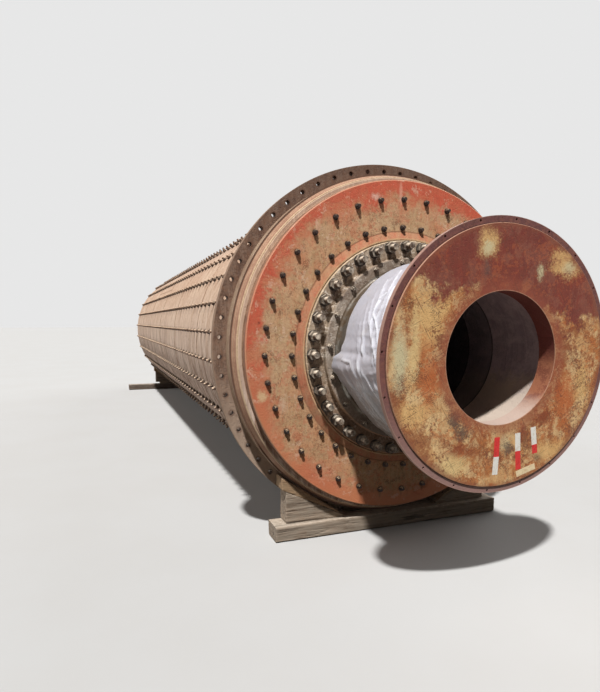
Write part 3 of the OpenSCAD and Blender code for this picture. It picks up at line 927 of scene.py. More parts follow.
def make_dusty_casting():
    material, nodes = new_material("dusty casting")
    place, where = nodes.use(DRUM_PLACE), nodes.place()
    broad = nodes.blotches(where, 4.5)
    fine = nodes.blotches(where, 40.0, cover=0.45, softness=0.1)
    grain = nodes.crust(where, grain=60.0, clump=6.0, cover=0.34)
    pale = nodes.crust(nodes.slice(where, 2.3), grain=34.0, clump=5.0, cover=0.30)
    color = nodes.mix(broad, srgb(190, 170, 146), srgb(156, 134, 112))
    low = nodes.ramp(nodes.plus(place["Up"], nodes.times(broad, 0.3)), 0.15, -0.75)
    boss = nodes.ramp(place["Radius"], BOSS_RADIUS + 0.002, BOSS_RADIUS - 0.006)
    marks = nodes.use(BOLT_MARKS_AND_SHADE, Circle=STUD_CIRCLE, Count=float(TRUNNION_STUDS),
                      Turn=TRUNNION_TURN, Ring=0.064, Drop=0.15)
    # Painted highlight: pale lines on the flange's edge and, low down, on the boss's edge
    edge = nodes.plus(nodes.band(place["Radius"], FLANGE_RADIUS - 0.003, 0.009),
                      nodes.times(nodes.band(place["Radius"], BOSS_RADIUS - 0.004, 0.009), low))
    color = nodes.coats(
        color,
        (fine, 0.55, srgb(132, 106, 84)),
        (pale, 0.75, srgb(238, 224, 206)),
        (grain, 0.65, srgb(92, 70, 54)),
        (low, 0.55, srgb(132, 94, 68)),
        (boss, 0.6, nodes.mix(broad, srgb(168, 156, 144), srgb(128, 112, 100))),
        # Painted shadow of each big nut, over old grease: a dark ring round it and a stain below
        (marks["Ring"], 0.8, srgb(44, 32, 24)),
        (marks["Stain"], 0.65, srgb(54, 40, 30)),
        (edge, 0.7, nodes.mix(low, srgb(222, 196, 160), srgb(212, 160, 120))))
    height = nodes.grit(where, grain=70.0, pitting=0.9)
    roughness = nodes.ramp(broad, 0.0, 1.0, 0.9, 0.78)
    end_material(nodes, color, roughness, height, depth=0.006, strength=0.6)
    return material


dress(make_dusty_casting(), *both_ends("trunnion_flange"))

# %% [markdown]
# ## Journals: greased steel
#
# The journal is the bearing surface, so it was ground bright and then greased before it was
# wrapped. It is metal with a thin brown film, and its lines run round it.

# %% Material: greased journal
def make_greased_journal():
    material, nodes = new_material("greased journal")
    place, where = nodes.use(DRUM_PLACE), nodes.place()
    lines = nodes.noise(nodes.vector(place["Along"], 0.0, 0.0), 240.0, 2.0, 0.6)
    smears = nodes.blotches(where, 5.0, cover=0.6)
    color = nodes.mix(smears, srgb(150, 146, 138), srgb(92, 74, 54))
    color = nodes.mix(nodes.ramp(lines, 0.40, 0.60, 0.0, 0.25), color, srgb(70, 58, 46))
    metallic = nodes.ramp(smears, 0.0, 1.0, 0.85, 0.15)
    height = nodes.plus(lines, nodes.times(smears, 0.6))
    roughness = nodes.ramp(smears, 0.0, 1.0, 0.32, 0.50)
    end_material(nodes, color, roughness, height, depth=0.001, strength=0.35, Metallic=metallic)
    return material


dress(make_greased_journal(), *both_ends("journal"))

# %% [markdown]
# ## Collar and end plate
#
# The collar is rolled plate gone purple-brown, with rubbed edges. The end plate in front of it is
# the most worn face of all: red-brown primer in its upper third, and below it a mosaic of ochre,
# orange rust and grey-green bare metal, with scratches across.

# %% Materials: collar and end plate
def make_collar_rust():
    material, nodes = new_material("collar rust")
    place, where = nodes.use(DRUM_PLACE), nodes.place()
    broad = nodes.blotches(where, 4.0)
    fine = nodes.blotches(where, 30.0, cover=0.4, softness=0.1)
    color = nodes.mix(broad, srgb(116, 70, 64), srgb(96, 56, 54))
    color = nodes.mix(nodes.times(fine, 0.45), color, srgb(146, 96, 78))
    crust = nodes.crust(where, grain=60.0, clump=6.0, cover=0.30)
    color = nodes.mix(nodes.times(crust, 0.6), color, srgb(78, 42, 38))
    low = nodes.ramp(place["Up"], 0.0, -0.95)
    color = nodes.mix(nodes.times(low, 0.55), color, srgb(180, 146, 136))
    rim = nodes.ramp(place["Radius"], COLLAR_RADIUS - 0.006, COLLAR_RADIUS - 0.001)
    color = nodes.mix(nodes.times(rim, 0.55), color, srgb(196, 158, 140))
    inner = nodes.band(place["Radius"], PLATE_RADIUS + 0.003, 0.008)
    color = nodes.mix(nodes.times(inner, 0.8), color, srgb(58, 34, 30))
    height = nodes.grit(where, grain=130.0, pitting=0.5)
    end_material(nodes, color, nodes.ramp(fine, 0.0, 1.0, 0.60, 0.80), height, depth=0.003, strength=0.5)
    return material


OCHRE, GOLD = srgb(240, 194, 128), srgb(240, 208, 146)
ORANGE_RUST, GREY_GREEN = srgb(196, 104, 54), srgb(222, 208, 164)
DARK_STAIN, DARK_RUST, PRIMER = srgb(84, 66, 60), srgb(140, 66, 36), srgb(118, 42, 32)
PLATE_PATCHES = (
    (-0.183, 0.830, 0.100, 0.130, 0.45, 0.95, OCHRE),
    (-0.183, 0.800, 0.060, 0.075, 0.55, 0.9, GREY_GREEN),
    (-0.180, 0.660, 0.050, 0.090, 0.6, 0.6, DARK_STAIN),
    (0.308, 0.644, 0.045, 0.070, 0.5, 0.9, GREY_GREEN),
    (0.545, 0.718, 0.160, 0.110, 0.6, 0.85, OCHRE),
    (0.580, 0.690, 0.070, 0.060, 0.5, 0.8, GREY_GREEN),
    (-0.640, 0.300, 0.160, 0.210, 0.55, 0.9, OCHRE),
    (-0.880, 0.010, 0.080, 0.270, 0.35, 1.0, GREY_GREEN),
    (-0.760, 0.080, 0.050, 0.300, 0.5, 0.8, GOLD),
    (-0.640, -0.120, 0.090, 0.240, 0.6, 0.75, ORANGE_RUST),
    (-0.780, -0.380, 0.160, 0.120, 0.6, 0.8, OCHRE),
    (-0.415, -0.430, 0.075, 0.085, 0.7, 0.9, DARK_STAIN),
    (-0.440, -0.320, 0.040, 0.055, 0.7, 0.8, DARK_STAIN),
    (-0.325, -0.540, 0.090, 0.080, 0.7, 0.9, DARK_STAIN),
    (-0.340, -0.672, 0.150, 0.065, 0.7, 0.9, DARK_RUST),
    (0.235, -0.590, 0.040, 0.085, 0.6, 0.8, DARK_RUST),
    (0.385, -0.780, 0.075, 0.055, 0.7, 0.8, DARK_STAIN),
    (0.560, -0.240, 0.055, 0.100, 0.8, 0.8, DARK_RUST),
    (0.452, -0.450, 0.090, 0.070, 0.8, 0.7, DARK_RUST),
    (0.600, 0.020, 0.110, 0.190, 0.8, 0.75, DARK_RUST),
    (0.420, -0.480, 0.130, 0.080, 0.8, 0.65, DARK_RUST),
    (-0.420, -0.790, 0.190, 0.100, 0.45, 0.9, GOLD),
    (0.060, -0.640, 0.055, 0.080, 0.5, 0.6, GREY_GREEN),
    (0.110, -0.700, 0.060, 0.055, 0.7, 0.85, DARK_STAIN),
    (0.620, -0.340, 0.140, 0.260, 0.6, 0.8, ORANGE_RUST),
    (0.800, -0.240, 0.080, 0.220, 0.5, 0.85, OCHRE),
    (0.520, -0.740, 0.220, 0.090, 0.6, 0.8, OCHRE),
)


def make_plate_rust():
    material, nodes = new_material("end plate rust")
    place, where = nodes.use(DRUM_PLACE), nodes.place()
    broad = nodes.blotches(where, 2.6, softness=0.07)
    patchy = nodes.blotches(where, 7.0, cover=0.42, softness=0.05)
    grain = nodes.crust(where, grain=52.0, clump=3.0, cover=0.22)
    specks = nodes.crust(where, grain=110.0, clump=4.5, cover=0.22)
    bright = nodes.crust(nodes.slice(where, 3.7), grain=36.0, clump=4.0, cover=0.30)
    streaks = nodes.run_off(where, scale=26.0, length=6.0)
    color = nodes.mix(broad, srgb(230, 184, 126), srgb(190, 122, 70))
    color = nodes.coats(
        color,
        (patchy, 0.75, srgb(244, 210, 154)),
        (streaks, 0.4, srgb(172, 110, 68)),
        (bright, 0.6, srgb(204, 118, 62)))
    gullies = nodes.blotches(where, 4.4, cover=0.30, softness=0.06)
    color = nodes.mix(nodes.times(gullies, 0.75), color, srgb(150, 84, 46))
    color = add_patches(nodes, color, [p for p in PLATE_PATCHES if p[1] < 0.5])
    color = nodes.coats(
        color,
        (grain, 0.8, srgb(118, 62, 38)),
        (specks, 0.7, srgb(96, 54, 36)))
    # Primer over the upper third, thinning out below a ragged edge
    ragged = nodes.wander(1.3, where, 3.4, 9.0, 0.78)
    level = nodes.plus(place["Up"], nodes.times(place["Across"], 0.22), ragged)
    primed = nodes.ramp(level, 0.36, 0.50)
    primer = nodes.mix(nodes.times(broad, 0.6), PRIMER, srgb(138, 58, 42))
    primer = nodes.coats(
        primer,
        (streaks, 0.5, srgb(98, 34, 28)),
        (bright, 0.5, srgb(172, 88, 52)),
        (patchy, 0.15, srgb(176, 120, 98)))
    color = nodes.mix(nodes.times(primed, 0.95), color, primer)
    color = add_patches(nodes, color, [p for p in PLATE_PATCHES if p[1] >= 0.5])
    # A red-brown band round the opening, and worn edges
    uneven = nodes.plus(place["Radius"], nodes.wander(0.12, where, 6.0, 4.0))
    throat_band = nodes.ramp(uneven, 0.53, 0.63, 1.0, 0.0)
    red_brown = nodes.mix(patchy, srgb(150, 76, 54), srgb(168, 98, 66))
    color = nodes.mix(nodes.times(throat_band, 0.72), color, red_brown)
    rim_band = nodes.ramp(uneven, PLATE_RADIUS - 0.05, PLATE_RADIUS, 0.0, 0.65)
    color = nodes.mix(rim_band, color, srgb(138, 78, 54))
    lips = nodes.plus(nodes.band(place["Radius"], PLATE_RADIUS - 0.001, 0.005),
                      nodes.band(place["Radius"], 0.502, 0.006))
    color = nodes.mix(nodes.times(lips, 0.7), color, srgb(204, 158, 130))
    # The sleeve inside the opening is orange-brown, with pale dust lying in its lower part
    inside = nodes.ramp(nodes.absolute(place["Along"]), PLATE_FACE - 0.002, PLATE_FACE - 0.008)
    inside = nodes.times(inside, nodes.ramp(place["Radius"], 0.56, 0.54))
    sleeve = nodes.mix(patchy, srgb(162, 102, 72), srgb(136, 78, 56))
    shaded = nodes.ramp(nodes.plus(place["Up"], nodes.times(ragged, 0.2)), -0.12, 0.10)
    sleeve = nodes.mix(shaded, sleeve, srgb(110, 50, 42))
    lying = nodes.ramp(nodes.plus(place["Up"], nodes.times(ragged, 0.12)), -0.26, -0.44)
    sleeve = nodes.mix(nodes.times(lying, 0.8), sleeve, srgb(206, 186, 172))
    # Scratches: noise stretched hard along two slanted directions
    for lean in (27, -58):
        turned = {"Vector": where, "Rotation": (math.radians(lean), 0.0, 0.0), "Scale": (1.0, 0.8, 0.024)}
        slant = nodes.add("ShaderNodeMapping", turned, vector_type="TEXTURE").outputs[0]
        scratches = nodes.ramp(nodes.noise(slant, 3.0, 3.0, 0.6), 0.62, 0.67)
        color = nodes.mix(nodes.times(scratches, 0.5), color, srgb(96, 54, 36))
    color = nodes.mix(inside, color, sleeve)
    height = nodes.plus(nodes.grit(where, grain=150.0, pitting=0.6),
                        nodes.times(primed, 0.5), nodes.times(scratches, -0.4))
    roughness = nodes.ramp(nodes.plus(primed, grain), 0.0, 1.4, 0.78, 0.56)
    end_material(nodes, color, roughness, height, depth=0.003, strength=0.55)
    return material


dress(make_collar_rust(), *both_ends("collar"))
dress(make_plate_rust(), *both_ends("end_plate"))

# %% [markdown]
# ## Inside: throat liners and drum lining
#
# Through the opening one sees the conical liner of the throat and, far back, the wave lining of
# the drum. Both are dark worn castings. Ground clinker has left pale tan dust wherever it can
# lie, which is the bottom of the throat.

# %% Materials: throat liner and lining
LINER_JOINTS_AND_SHADE = ((0.59, 0.60, srgb(64, 58, 66)), (0.24, 0.80, srgb(30, 26, 32)))


def make_worn_liner(name, dark, mid, dust, amount):
    material, nodes = new_material(name)
    place, where = nodes.use(DRUM_PLACE), nodes.place()
    lines = nodes.noise(nodes.vector(place["Radius"], place["Along"], 0.0), 60.0, 3.0, 0.6)
    patchy = nodes.blotches(where, 6.0)
    color = nodes.mix(patchy, dark, mid)
    color = nodes.mix(nodes.ramp(lines, 0.45, 0.6, 0.0, 0.35), color, mid)
    ragged = nodes.wander(0.35, where, 7.0, 5.0, 0.7)
    lying = nodes.ramp(nodes.plus(place["Up"], ragged), -0.10, -0.34)
    color = nodes.mix(nodes.times(lying, amount), color, dust)
    # The liner comes in lengths, with a dark joint at each, and painted shade deepens beyond each joint
    depth_in = nodes.minus(nodes.absolute(place["Along"]), FACE)
    for joint, shade_share, shade_tone in LINER_JOINTS_AND_SHADE:
        color = nodes.mix(nodes.ramp(depth_in, joint, joint - 0.01, 0.0, shade_share), color, shade_tone)
        color = nodes.mix(nodes.band(depth_in, joint, 0.014), color, srgb(20, 16, 16))
    height = nodes.grit(where, grain=80.0, pitting=0.7)
    end_material(nodes, color, nodes.ramp(patchy, 0.0, 1.0, 0.62, 0.82), height, depth=0.004)
    return material


throat_finish = make_worn_liner(
    "throat liner", srgb(156, 140, 148), srgb(192, 174, 180), srgb(206, 188, 170), 0.92)
lining_finish = make_worn_liner(
    "drum lining", srgb(66, 60, 56), srgb(98, 82, 68), srgb(150, 124, 98), 0.6)
dress(throat_finish, *both_ends("throat_liner"))
dress(lining_finish, "shell_lining")

# %% [markdown]
# ## Film round the journals
#
# The journals were wrapped in plastic film to keep their grease clean. It is wound tight at the
# collar, stands off the boss like a skirt at its free edge, has a pointed corner torn out at the
# left and sags below. Cloth simulation would find folds of its own, but these have places, so the
# sheet is a grid round the journal whose radius and edge follow a few named stations, with folds
# made of ridged noise that runs along the axis above and round the belly below.

# %% Film stations and folds
FILM_ROUND = 384
FILM_ALONG = 124
FILM_THICK = 0.0016
FILM_LAYERS = 0.008    # the layers wound on below the loose one
FILM_BELLY = 0.040     # how far the film sags below the journal
FILM_RAGGED = 0.007    # how far its free edge strays
# Turn in degrees, how far the free edge stands off the journal, and its distance from the head
FILM_STATIONS = (
    (20, 0.020, 0.250), (60, 0.050, 0.240), (85, 0.060, 0.290), (100, 0.044, 0.290),
    (112, 0.034, 0.270), (124, 0.018, 0.235), (136, 0.010, 0.250),
    (152, 0.006, 0.250), (170, 0.002, 0.272),
    (179, 0.018, 0.245), (184, 0.062, 0.165), (189.5, 0.078, 0.150), (197, 0.040, 0.172),
    (206, 0.010, 0.200), (214, 0.004, 0.215), (228, 0.014, 0.212), (244, 0.052, 0.212),
    (258, 0.108, 0.230), (272, 0.115, 0.240), (292, 0.085, 0.240), (325, 0.030, 0.250),
)
# Creases that stand out: height, half width, and points as (distance from the head, turn)
CREASES = (
    (0.026, 0.018, ((0.673, 145), (0.682, 154), (0.778, 159), (0.851, 165), (0.906, 174), (0.930, 182))),
    (0.022, 0.016, ((0.523, 116), (0.657, 130), (0.717, 138), (0.642, 143))),
    (0.022, 0.016, ((0.740, 122), (0.752, 133), (0.762, 138), (0.833, 149), (0.883, 159))),
    (0.018, 0.014, ((0.497, 126), (0.577, 137), (0.650, 145))),
    (0.022, 0.018, ((0.340, 184), (0.494, 185), (0.629, 203), (0.640, 214))),
    (0.022, 0.018, ((0.600, 203), (0.627, 207), (0.688, 220), (0.720, 230))),
    (0.022, 0.018, ((0.720, 192), (0.759, 198), (0.858, 208), (0.900, 216))),
)


def between_stations(turn, column):
    """Reads a column of the stations at any turn, easing from one station to the next."""
    for first, second in zip(FILM_STATIONS, FILM_STATIONS[1:] + FILM_STATIONS[:1]):
        span = (second[0] - first[0]) % 360
        into = (turn - first[0]) % 360
        if into < span:
            share = into / span
            ease = share * share * (3 - 2 * share)
            return first[column] + (second[column] - first[column]) * ease
    return FILM_STATIONS[0][column]


def ridge(x, y, z, octaves):
    """Noise folded about zero: sharp crests with round valleys between, from 0 to 1."""
    total, size, weight = 0.0, 1.0, 0.0
    for octave in range(octaves):
        point = Vector((x / size, y / size, z + 7.3 * octave))
        total += size * (1.0 - abs(noise.noise(point)) * 2.2)
        weight += size
        size *= 0.5
    return max(0.0, total / weight)


def film_fold(turn, distance, seed):
    """Height and whiteness of the folds at a turn in degrees and a distance from the head. The whiteness
    drops in the hollows between laps, as painted shade.
    """
    y, z = math.cos(math.radians(turn)), math.sin(math.radians(turn))
    # Reading the turn as a place on a circle closes the pattern where it comes back to its start
    swell = noise.noise(Vector((distance * 1.8, y * 1.4, z * 1.4 + seed)))
    # The winding bunches the film in laps that run round it and drift as they come down the side
    lap = ridge((distance + 0.33 * z) * 13, y * 2.4, z * 2.4 + seed, 2)
    bunched = max(0.0, min(1.0, (distance - 0.44 - 0.20 * min(z, 0.0)) / 0.20))
    if z < 0:
        bunched = max(bunched, min(1.0, -3 * z) * max(0.0, min(1.0, (distance - 0.22) / 0.2)))
    # Pleats run along the journal where the film was tucked in at the collar, on the right
    pleats = ridge(y * 9.0 + distance, z * 9.0 - distance, distance * 0.8 + seed, 2) ** 3
    tucked = max(0.0, min(1.0, (distance - 0.3) / 0.6)) * (0.35 + 0.65 * max(0.0, y))
    crumple = ridge(y * 20 + distance * 5, z * 20, distance * 16 + seed + 40, 2)
    height = 0.024 * lap ** 4 * bunched + 0.030 * pleats * tucked
    height += 0.0025 * crumple + 0.009 * (swell + 0.4) * min(1.0, 0.3 + distance * 0.6)
    # White rises on the crests where film stacks, and drops in the hollows between laps as painted shade
    white = 0.4 + 0.6 * max(lap ** 4 * bunched, pleats * tucked) - 0.4 * (1 - lap) ** 1.5 * bunched
    return height, white


def crease_height(distance, turn):
    """Height of the single creases at a place, and how near it lies to a crest, from 0 to 1."""
    height, best = 0.0, 0.0
    arc = JOURNAL_RADIUS * math.pi / 180
    spot = Vector((distance, turn * arc))
    for crest, half_width, path in CREASES:
        if not path[0][1] - 8 < turn < path[-1][1] + 8 and not path[-1][1] - 8 < turn < path[0][1] + 8:
            continue
        for first, second in zip(path, path[1:]):
            start, end = Vector((first[0], first[1] * arc)), Vector((second[0], second[1] * arc))
            nearest, share = geometry.intersect_point_line(spot, start, end)
            nearest = start.lerp(end, max(0.0, min(1.0, share)))
            share = max(0.0, 1 - (spot - nearest).length / half_width) ** 1.2
            height, best = max(height, crest * share), max(best, share)
    return height, best


def film_mesh(outwards, seed):
    """The film as one open sheet, closed round the journal, with its points in the row frame."""
    vertices, faces, folds = [], [], []
    for i in range(FILM_ALONG + 1):
        along = i / FILM_ALONG
        for j in range(FILM_ROUND):
            turn = 360.0 * j / FILM_ROUND
            stand_off = between_stations(turn, 1) * (1 - along) ** 1.6
            edge = between_stations(turn, 2)
            ragged = FILM_RAGGED * noise.noise(Vector((math.cos(math.radians(turn)) * 9, seed, turn * 0.02)))
            start = FACE + edge + ragged * (1 - along)
            end = COLLAR_BACK - FILM_THICK
            x = start + (end - start) * along
            belly = FILM_BELLY * max(0.0, -math.sin(math.radians(turn))) * math.sin(math.pi * along)
            fold, white = film_fold(turn, x - FACE, seed)
            crease, share = crease_height(x - FACE, turn)
            fold, white = max(fold, crease), max(white, 0.4 + 0.6 * share)
            radius = JOURNAL_RADIUS + FILM_LAYERS + stand_off + belly + fold
            angle = math.radians(turn)
            vertices.append((outwards * x, radius * math.cos(angle), AXIS + radius * math.sin(angle)))
            hem = max(0.0, 1.0 - i / 2)
            folds.append(min(1.0, max(hem, white)))
    for i in range(FILM_ALONG):
        for j in range(FILM_ROUND):
            k = (j + 1) % FILM_ROUND
            row, ahead = i * FILM_ROUND, (i + 1) * FILM_ROUND
            corners = (row + j, row + k, ahead + k, ahead + j)
            faces.append(corners if outwards > 0 else corners[::-1])
    mesh = bpy.data.meshes.new("film")
    mesh.from_pydata(vertices, [], faces)
    mesh.validate()
    mesh.attributes.new("fold", "FLOAT", "POINT").data.foreach_set("value", folds)
    return mesh


# %% [markdown]
# ## Film finish
#
# Thin film is clear where it lies flat and white where folds stack it up, and its hollows are
# painted greyer, as shade. The alpha follows a noise of folds and the gloss is high, and the faint
# blue in the hollows is a painted reflection of the sky.

# %% Material: plastic film
def make_film():
    material, nodes = new_material("plastic film")
    where = nodes.place()
    place = nodes.use(DRUM_PLACE)
    fold = nodes.add("ShaderNodeAttribute", attribute_name="fold").outputs["Fac"]
    layers = nodes.noise(where, 3.2, 4.0, 0.55, 0.6)
    fine = nodes.noise(where, 30.0, 4.0, 0.6, 0.5)
    stacked = nodes.plus(fold, nodes.times(nodes.minus(layers, 0.5), 0.5))
    low = nodes.ramp(place["Up"], 0.10, -0.70)
    hollow_shade_and_sky = nodes.mix(low, srgb(146, 164, 184), srgb(124, 117, 111))
    flat = nodes.mix(low, srgb(196, 194, 202), srgb(180, 171, 164))
    crest = nodes.mix(low, srgb(228, 228, 234), srgb(220, 215, 212))
    color = nodes.mix(nodes.ramp(stacked, 0.05, 0.38), hollow_shade_and_sky, flat)
    color = nodes.mix(nodes.ramp(stacked, 0.42, 0.95), color, crest)
    dirt = nodes.blotches(where, 5.0, cover=0.22, softness=0.1)
    color = nodes.mix(nodes.times(dirt, 0.25), color, srgb(184, 172, 156))
    alpha = nodes.plus(nodes.ramp(stacked, 0.0, 1.0, 0.88, 0.98), nodes.times(low, -0.12))
    height = nodes.plus(layers, nodes.times(fine, 0.25))
    end_material(nodes, color, nodes.ramp(fine, 0.3, 0.7, 0.34, 0.50), height, depth=0.006, strength=0.4,
                 Alpha=alpha, IOR=1.48)
    return material


film_finish = make_film()
for end, outwards, seed in (("near", 1.0, 3.1), ("far", -1.0, 8.6)):
    film = add_piece(f"{end}_film", film_mesh(outwards, seed), film_finish)
    thicken = film.modifiers.new("thickness", "SOLIDIFY")
    thicken.thickness = FILM_THICK
    thicken.offset = 0.0
    for polygon in film.data.polygons:
        polygon.use_smooth = True
    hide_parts(f"{end}_journal_wrap")

# %% [markdown]
# ## Marking tape on the near end plate
#
# Three strips of red and white tape and a torn cream one are stuck below the opening. Each is a
# thin bent strip with square ends, made as a grid that follows the plate with a millimetre of
# lift, and the two colours are two materials, so their edge is sharp.

# %% Tape strips
TAPE_WIDTH = 0.050
TAPE_THICK = 0.0006
TAPES = {
    "tape_left": ((-0.012, -0.595), (-0.012, -0.748), (-0.018, -0.888), "red"),
    "tape_middle": ((0.181, -0.576), (0.192, -0.719), (0.206, -0.867), "white"),
    "tape_right": ((0.329, -0.539), (0.351, -0.679), (0.362, -0.750), "white"),
    "tape_torn": ((0.190, -0.905), (0.275, -0.880), (0.370, -0.855), "cream"),
}


def make_tape(name, tint, worn):
    material, nodes = new_material(name)
    where = nodes.place()
    scuffs = nodes.blotches(where, 30.0, cover=0.35, softness=0.08)
    cells = nodes.noise(where, 420.0, 1.0, 0.4)
    color = nodes.mix(nodes.times(scuffs, 0.5), tint, worn)
    color = nodes.mix(nodes.ramp(cells, 0.45, 0.6, 0.0, 0.12), color, worn)
    roughness = nodes.ramp(scuffs, 0.0, 1.0, 0.34, 0.7)
    end_material(nodes, color, roughness, cells, depth=0.0006, strength=0.3)
    return material


TAPE_COLORS = {
    "red": make_tape("red tape", srgb(232, 50, 48), srgb(180, 60, 48)),
    "white": make_tape("white tape", srgb(250, 246, 236), srgb(214, 196, 168)),
    "cream": make_tape("cream tape", srgb(250, 226, 182), srgb(212, 176, 128)),
}


def tape_mesh(top, middle, bottom, first):
    """A strip through three points of the plate's face, as (across, up) from the axis."""
    mesh = bpy.data.meshes.new("tape")
    shape = bmesh.new()
    rows, steps = [], 24
    points = [Vector(p) for p in (top, middle, bottom)]
    for step in range(steps + 1):
        share = step / steps * 2
        start, end = (points[0], points[1]) if share <= 1 else (points[1], points[2])
        spot = start.lerp(end, share if share <= 1 else share - 1)
        along = (end - start).normalized()
        side = Vector((-along.y, along.x)) * TAPE_WIDTH / 2
        row = []
        for k in range(5):
            flat = spot + side * (k / 2 - 1)
            lift = TAPE_THICK + 0.0008 * (0.5 + noise.noise(Vector((flat.x * 40, flat.y * 40, 1.0))))
            row.append(shape.verts.new((PLATE_FACE + lift, flat.x, AXIS + flat.y)))
        rows.append(row)
    second = {"red": "white", "white": "red"}.get(first)
    mesh.materials.append(TAPE_COLORS[first])
    if second:
        mesh.materials.append(TAPE_COLORS[second])
    for step in range(steps):
        for k in range(4):
            this, ahead = rows[step], rows[step + 1]
            face = shape.faces.new((this[k], ahead[k], ahead[k + 1], this[k + 1]))
            face.material_index = 1 if second and step >= steps / 2 else 0
    bmesh.ops.recalc_face_normals(shape, faces=shape.faces)
    shape.to_mesh(mesh)
    shape.free()
    return mesh


for name, (top, middle, bottom, first) in TAPES.items():
    tape = add_piece(name, tape_mesh(top, middle, bottom, first))
    lift = tape.modifiers.new("thickness", "SOLIDIFY")
    lift.thickness = TAPE_THICK

# %% [markdown]
# ## Timbers: sawn, weathered and split
#
# The sleepers, chocks and wedges are rough timber. Each CAD block is remeshed into small faces,
# and its points are pressed inwards by grain noise that is long down the timber and fine across
# it. Nothing moves outwards, so a timber still fits the space that its solid holds.

# %% Weathered timbers
TIMBER_VOXEL = 0.011
TIMBER_CUT = 0.005


def weathered(node, material, grain, depth):
    """A weathered copy of a CAD timber, pressed in along its grain, which runs along Y."""
    source = new_object(node + "_source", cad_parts[node].data.copy())
    shape = bmesh.new()
    shape.from_mesh(source.data)
    bmesh.ops.remove_doubles(shape, verts=shape.verts, dist=1e-5)
    shape.to_mesh(source.data)
    shape.free()
    remesh = source.modifiers.new("even faces", "REMESH")
    remesh.mode = "VOXEL"
    remesh.voxel_size = TIMBER_VOXEL
    mesh = worked_out(source)
    low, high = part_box(node)
    for vertex in mesh.vertices:
        point, normal = vertex.co, vertex.normal
        fibre = ridge(point.x * 34, point.z * 34, point.y * 1.3, 3)
        check = max(0.0, ridge(point.x * 9, point.z * 9, point.y * 0.9 + 30, 1) - 0.90) * 8.0
        knock = max(0.0, noise.noise(point * 7.0) - 0.18) * 1.8
        sunk = depth * (0.55 * (1 - fibre) + check + knock * grain)
        moved = point - normal * min(sunk, 3.2 * depth)
        vertex.co = Vector(max(low[i], min(high[i], moved[i])) for i in range(3))
    mesh.materials.clear()
    for polygon in mesh.polygons:
        polygon.use_smooth = False
    piece = add_piece(f"weathered_{node}", mesh, material)
    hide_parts(node)
    return piece


def make_timber(name, early, late, weather, weathering):
    material, nodes = new_material(name)
    where = nodes.place()
    x, y, z = nodes.split(where)
    along_grain = nodes.vector(x, nodes.times(y, 0.045), z)
    rings = nodes.noise(along_grain, 36.0, 5.0, 0.65, 0.6)
    fibres = nodes.noise(along_grain, 150.0, 3.0, 0.6)
    stain = nodes.blotches(where, 5.0)
    splits = nodes.ramp(nodes.noise(along_grain, 15.0, 4.0, 0.6, 0.4), 0.60, 0.66)
    color = nodes.mix(nodes.ramp(rings, 0.38, 0.62), early, late)
    color = nodes.mix(nodes.ramp(fibres, 0.4, 0.65, 0.0, 0.4), color, weather)
    color = nodes.mix(nodes.times(stain, weathering), color, weather)
    settled = nodes.dust(0.4)
    color = nodes.coats(
        color,
        (settled, 0.6, srgb(206, 192, 174)),
        (splits, 0.75, srgb(44, 34, 26)))
    height = nodes.plus(rings, nodes.times(fibres, 0.5), nodes.times(splits, -0.9))
    roughness = nodes.ramp(rings, 0.3, 0.7, 0.94, 0.82)
    end_material(nodes, color, roughness, height, depth=0.006, strength=0.8)
    return material


old_timber = make_timber("old timber", srgb(170, 150, 130), srgb(114, 94, 76), srgb(156, 144, 128), 0.5)
new_timber = make_timber("new timber", srgb(182, 148, 112), srgb(146, 112, 80), srgb(152, 130, 104), 0.4)
# The far sleeper is darker wood, and is painted darker still, as the shade on its side
dark_timber_and_shade = make_timber("dark timber and painted shade", srgb(118, 98, 82), srgb(78, 62, 52), srgb(132, 120, 108), 0.5)
weathered("near_sleeper", old_timber, 1.0, TIMBER_CUT)
weathered("far_sleeper", dark_timber_and_shade, 1.0, TIMBER_CUT)
for end in ("near", "far"):
    for side in ("left", "right"):
        weathered(f"{end}_chock_{side}", old_timber, 1.0, TIMBER_CUT)
        weathered(f"{end}_wedge_{side}", new_timber, 0.6, 0.6 * TIMBER_CUT)
weathered("far_packing_board", old_timber, 1.0, 0.8 * TIMBER_CUT)

# %% [markdown]
# ## Weld beads
#
# The shell is rolled in six courses that are welded end to end, and each course has a seam along
# it, turned from its neighbour's so that no two seams meet. A bead is a low rounded ridge with
# the ripples that the weld pool leaves, drawn as a strip of cross-sections along its path.

# %% Weld beads
BEAD_WIDTH = 0.026
BEAD_HEIGHT = 0.005
BEAD_SINK = 0.004


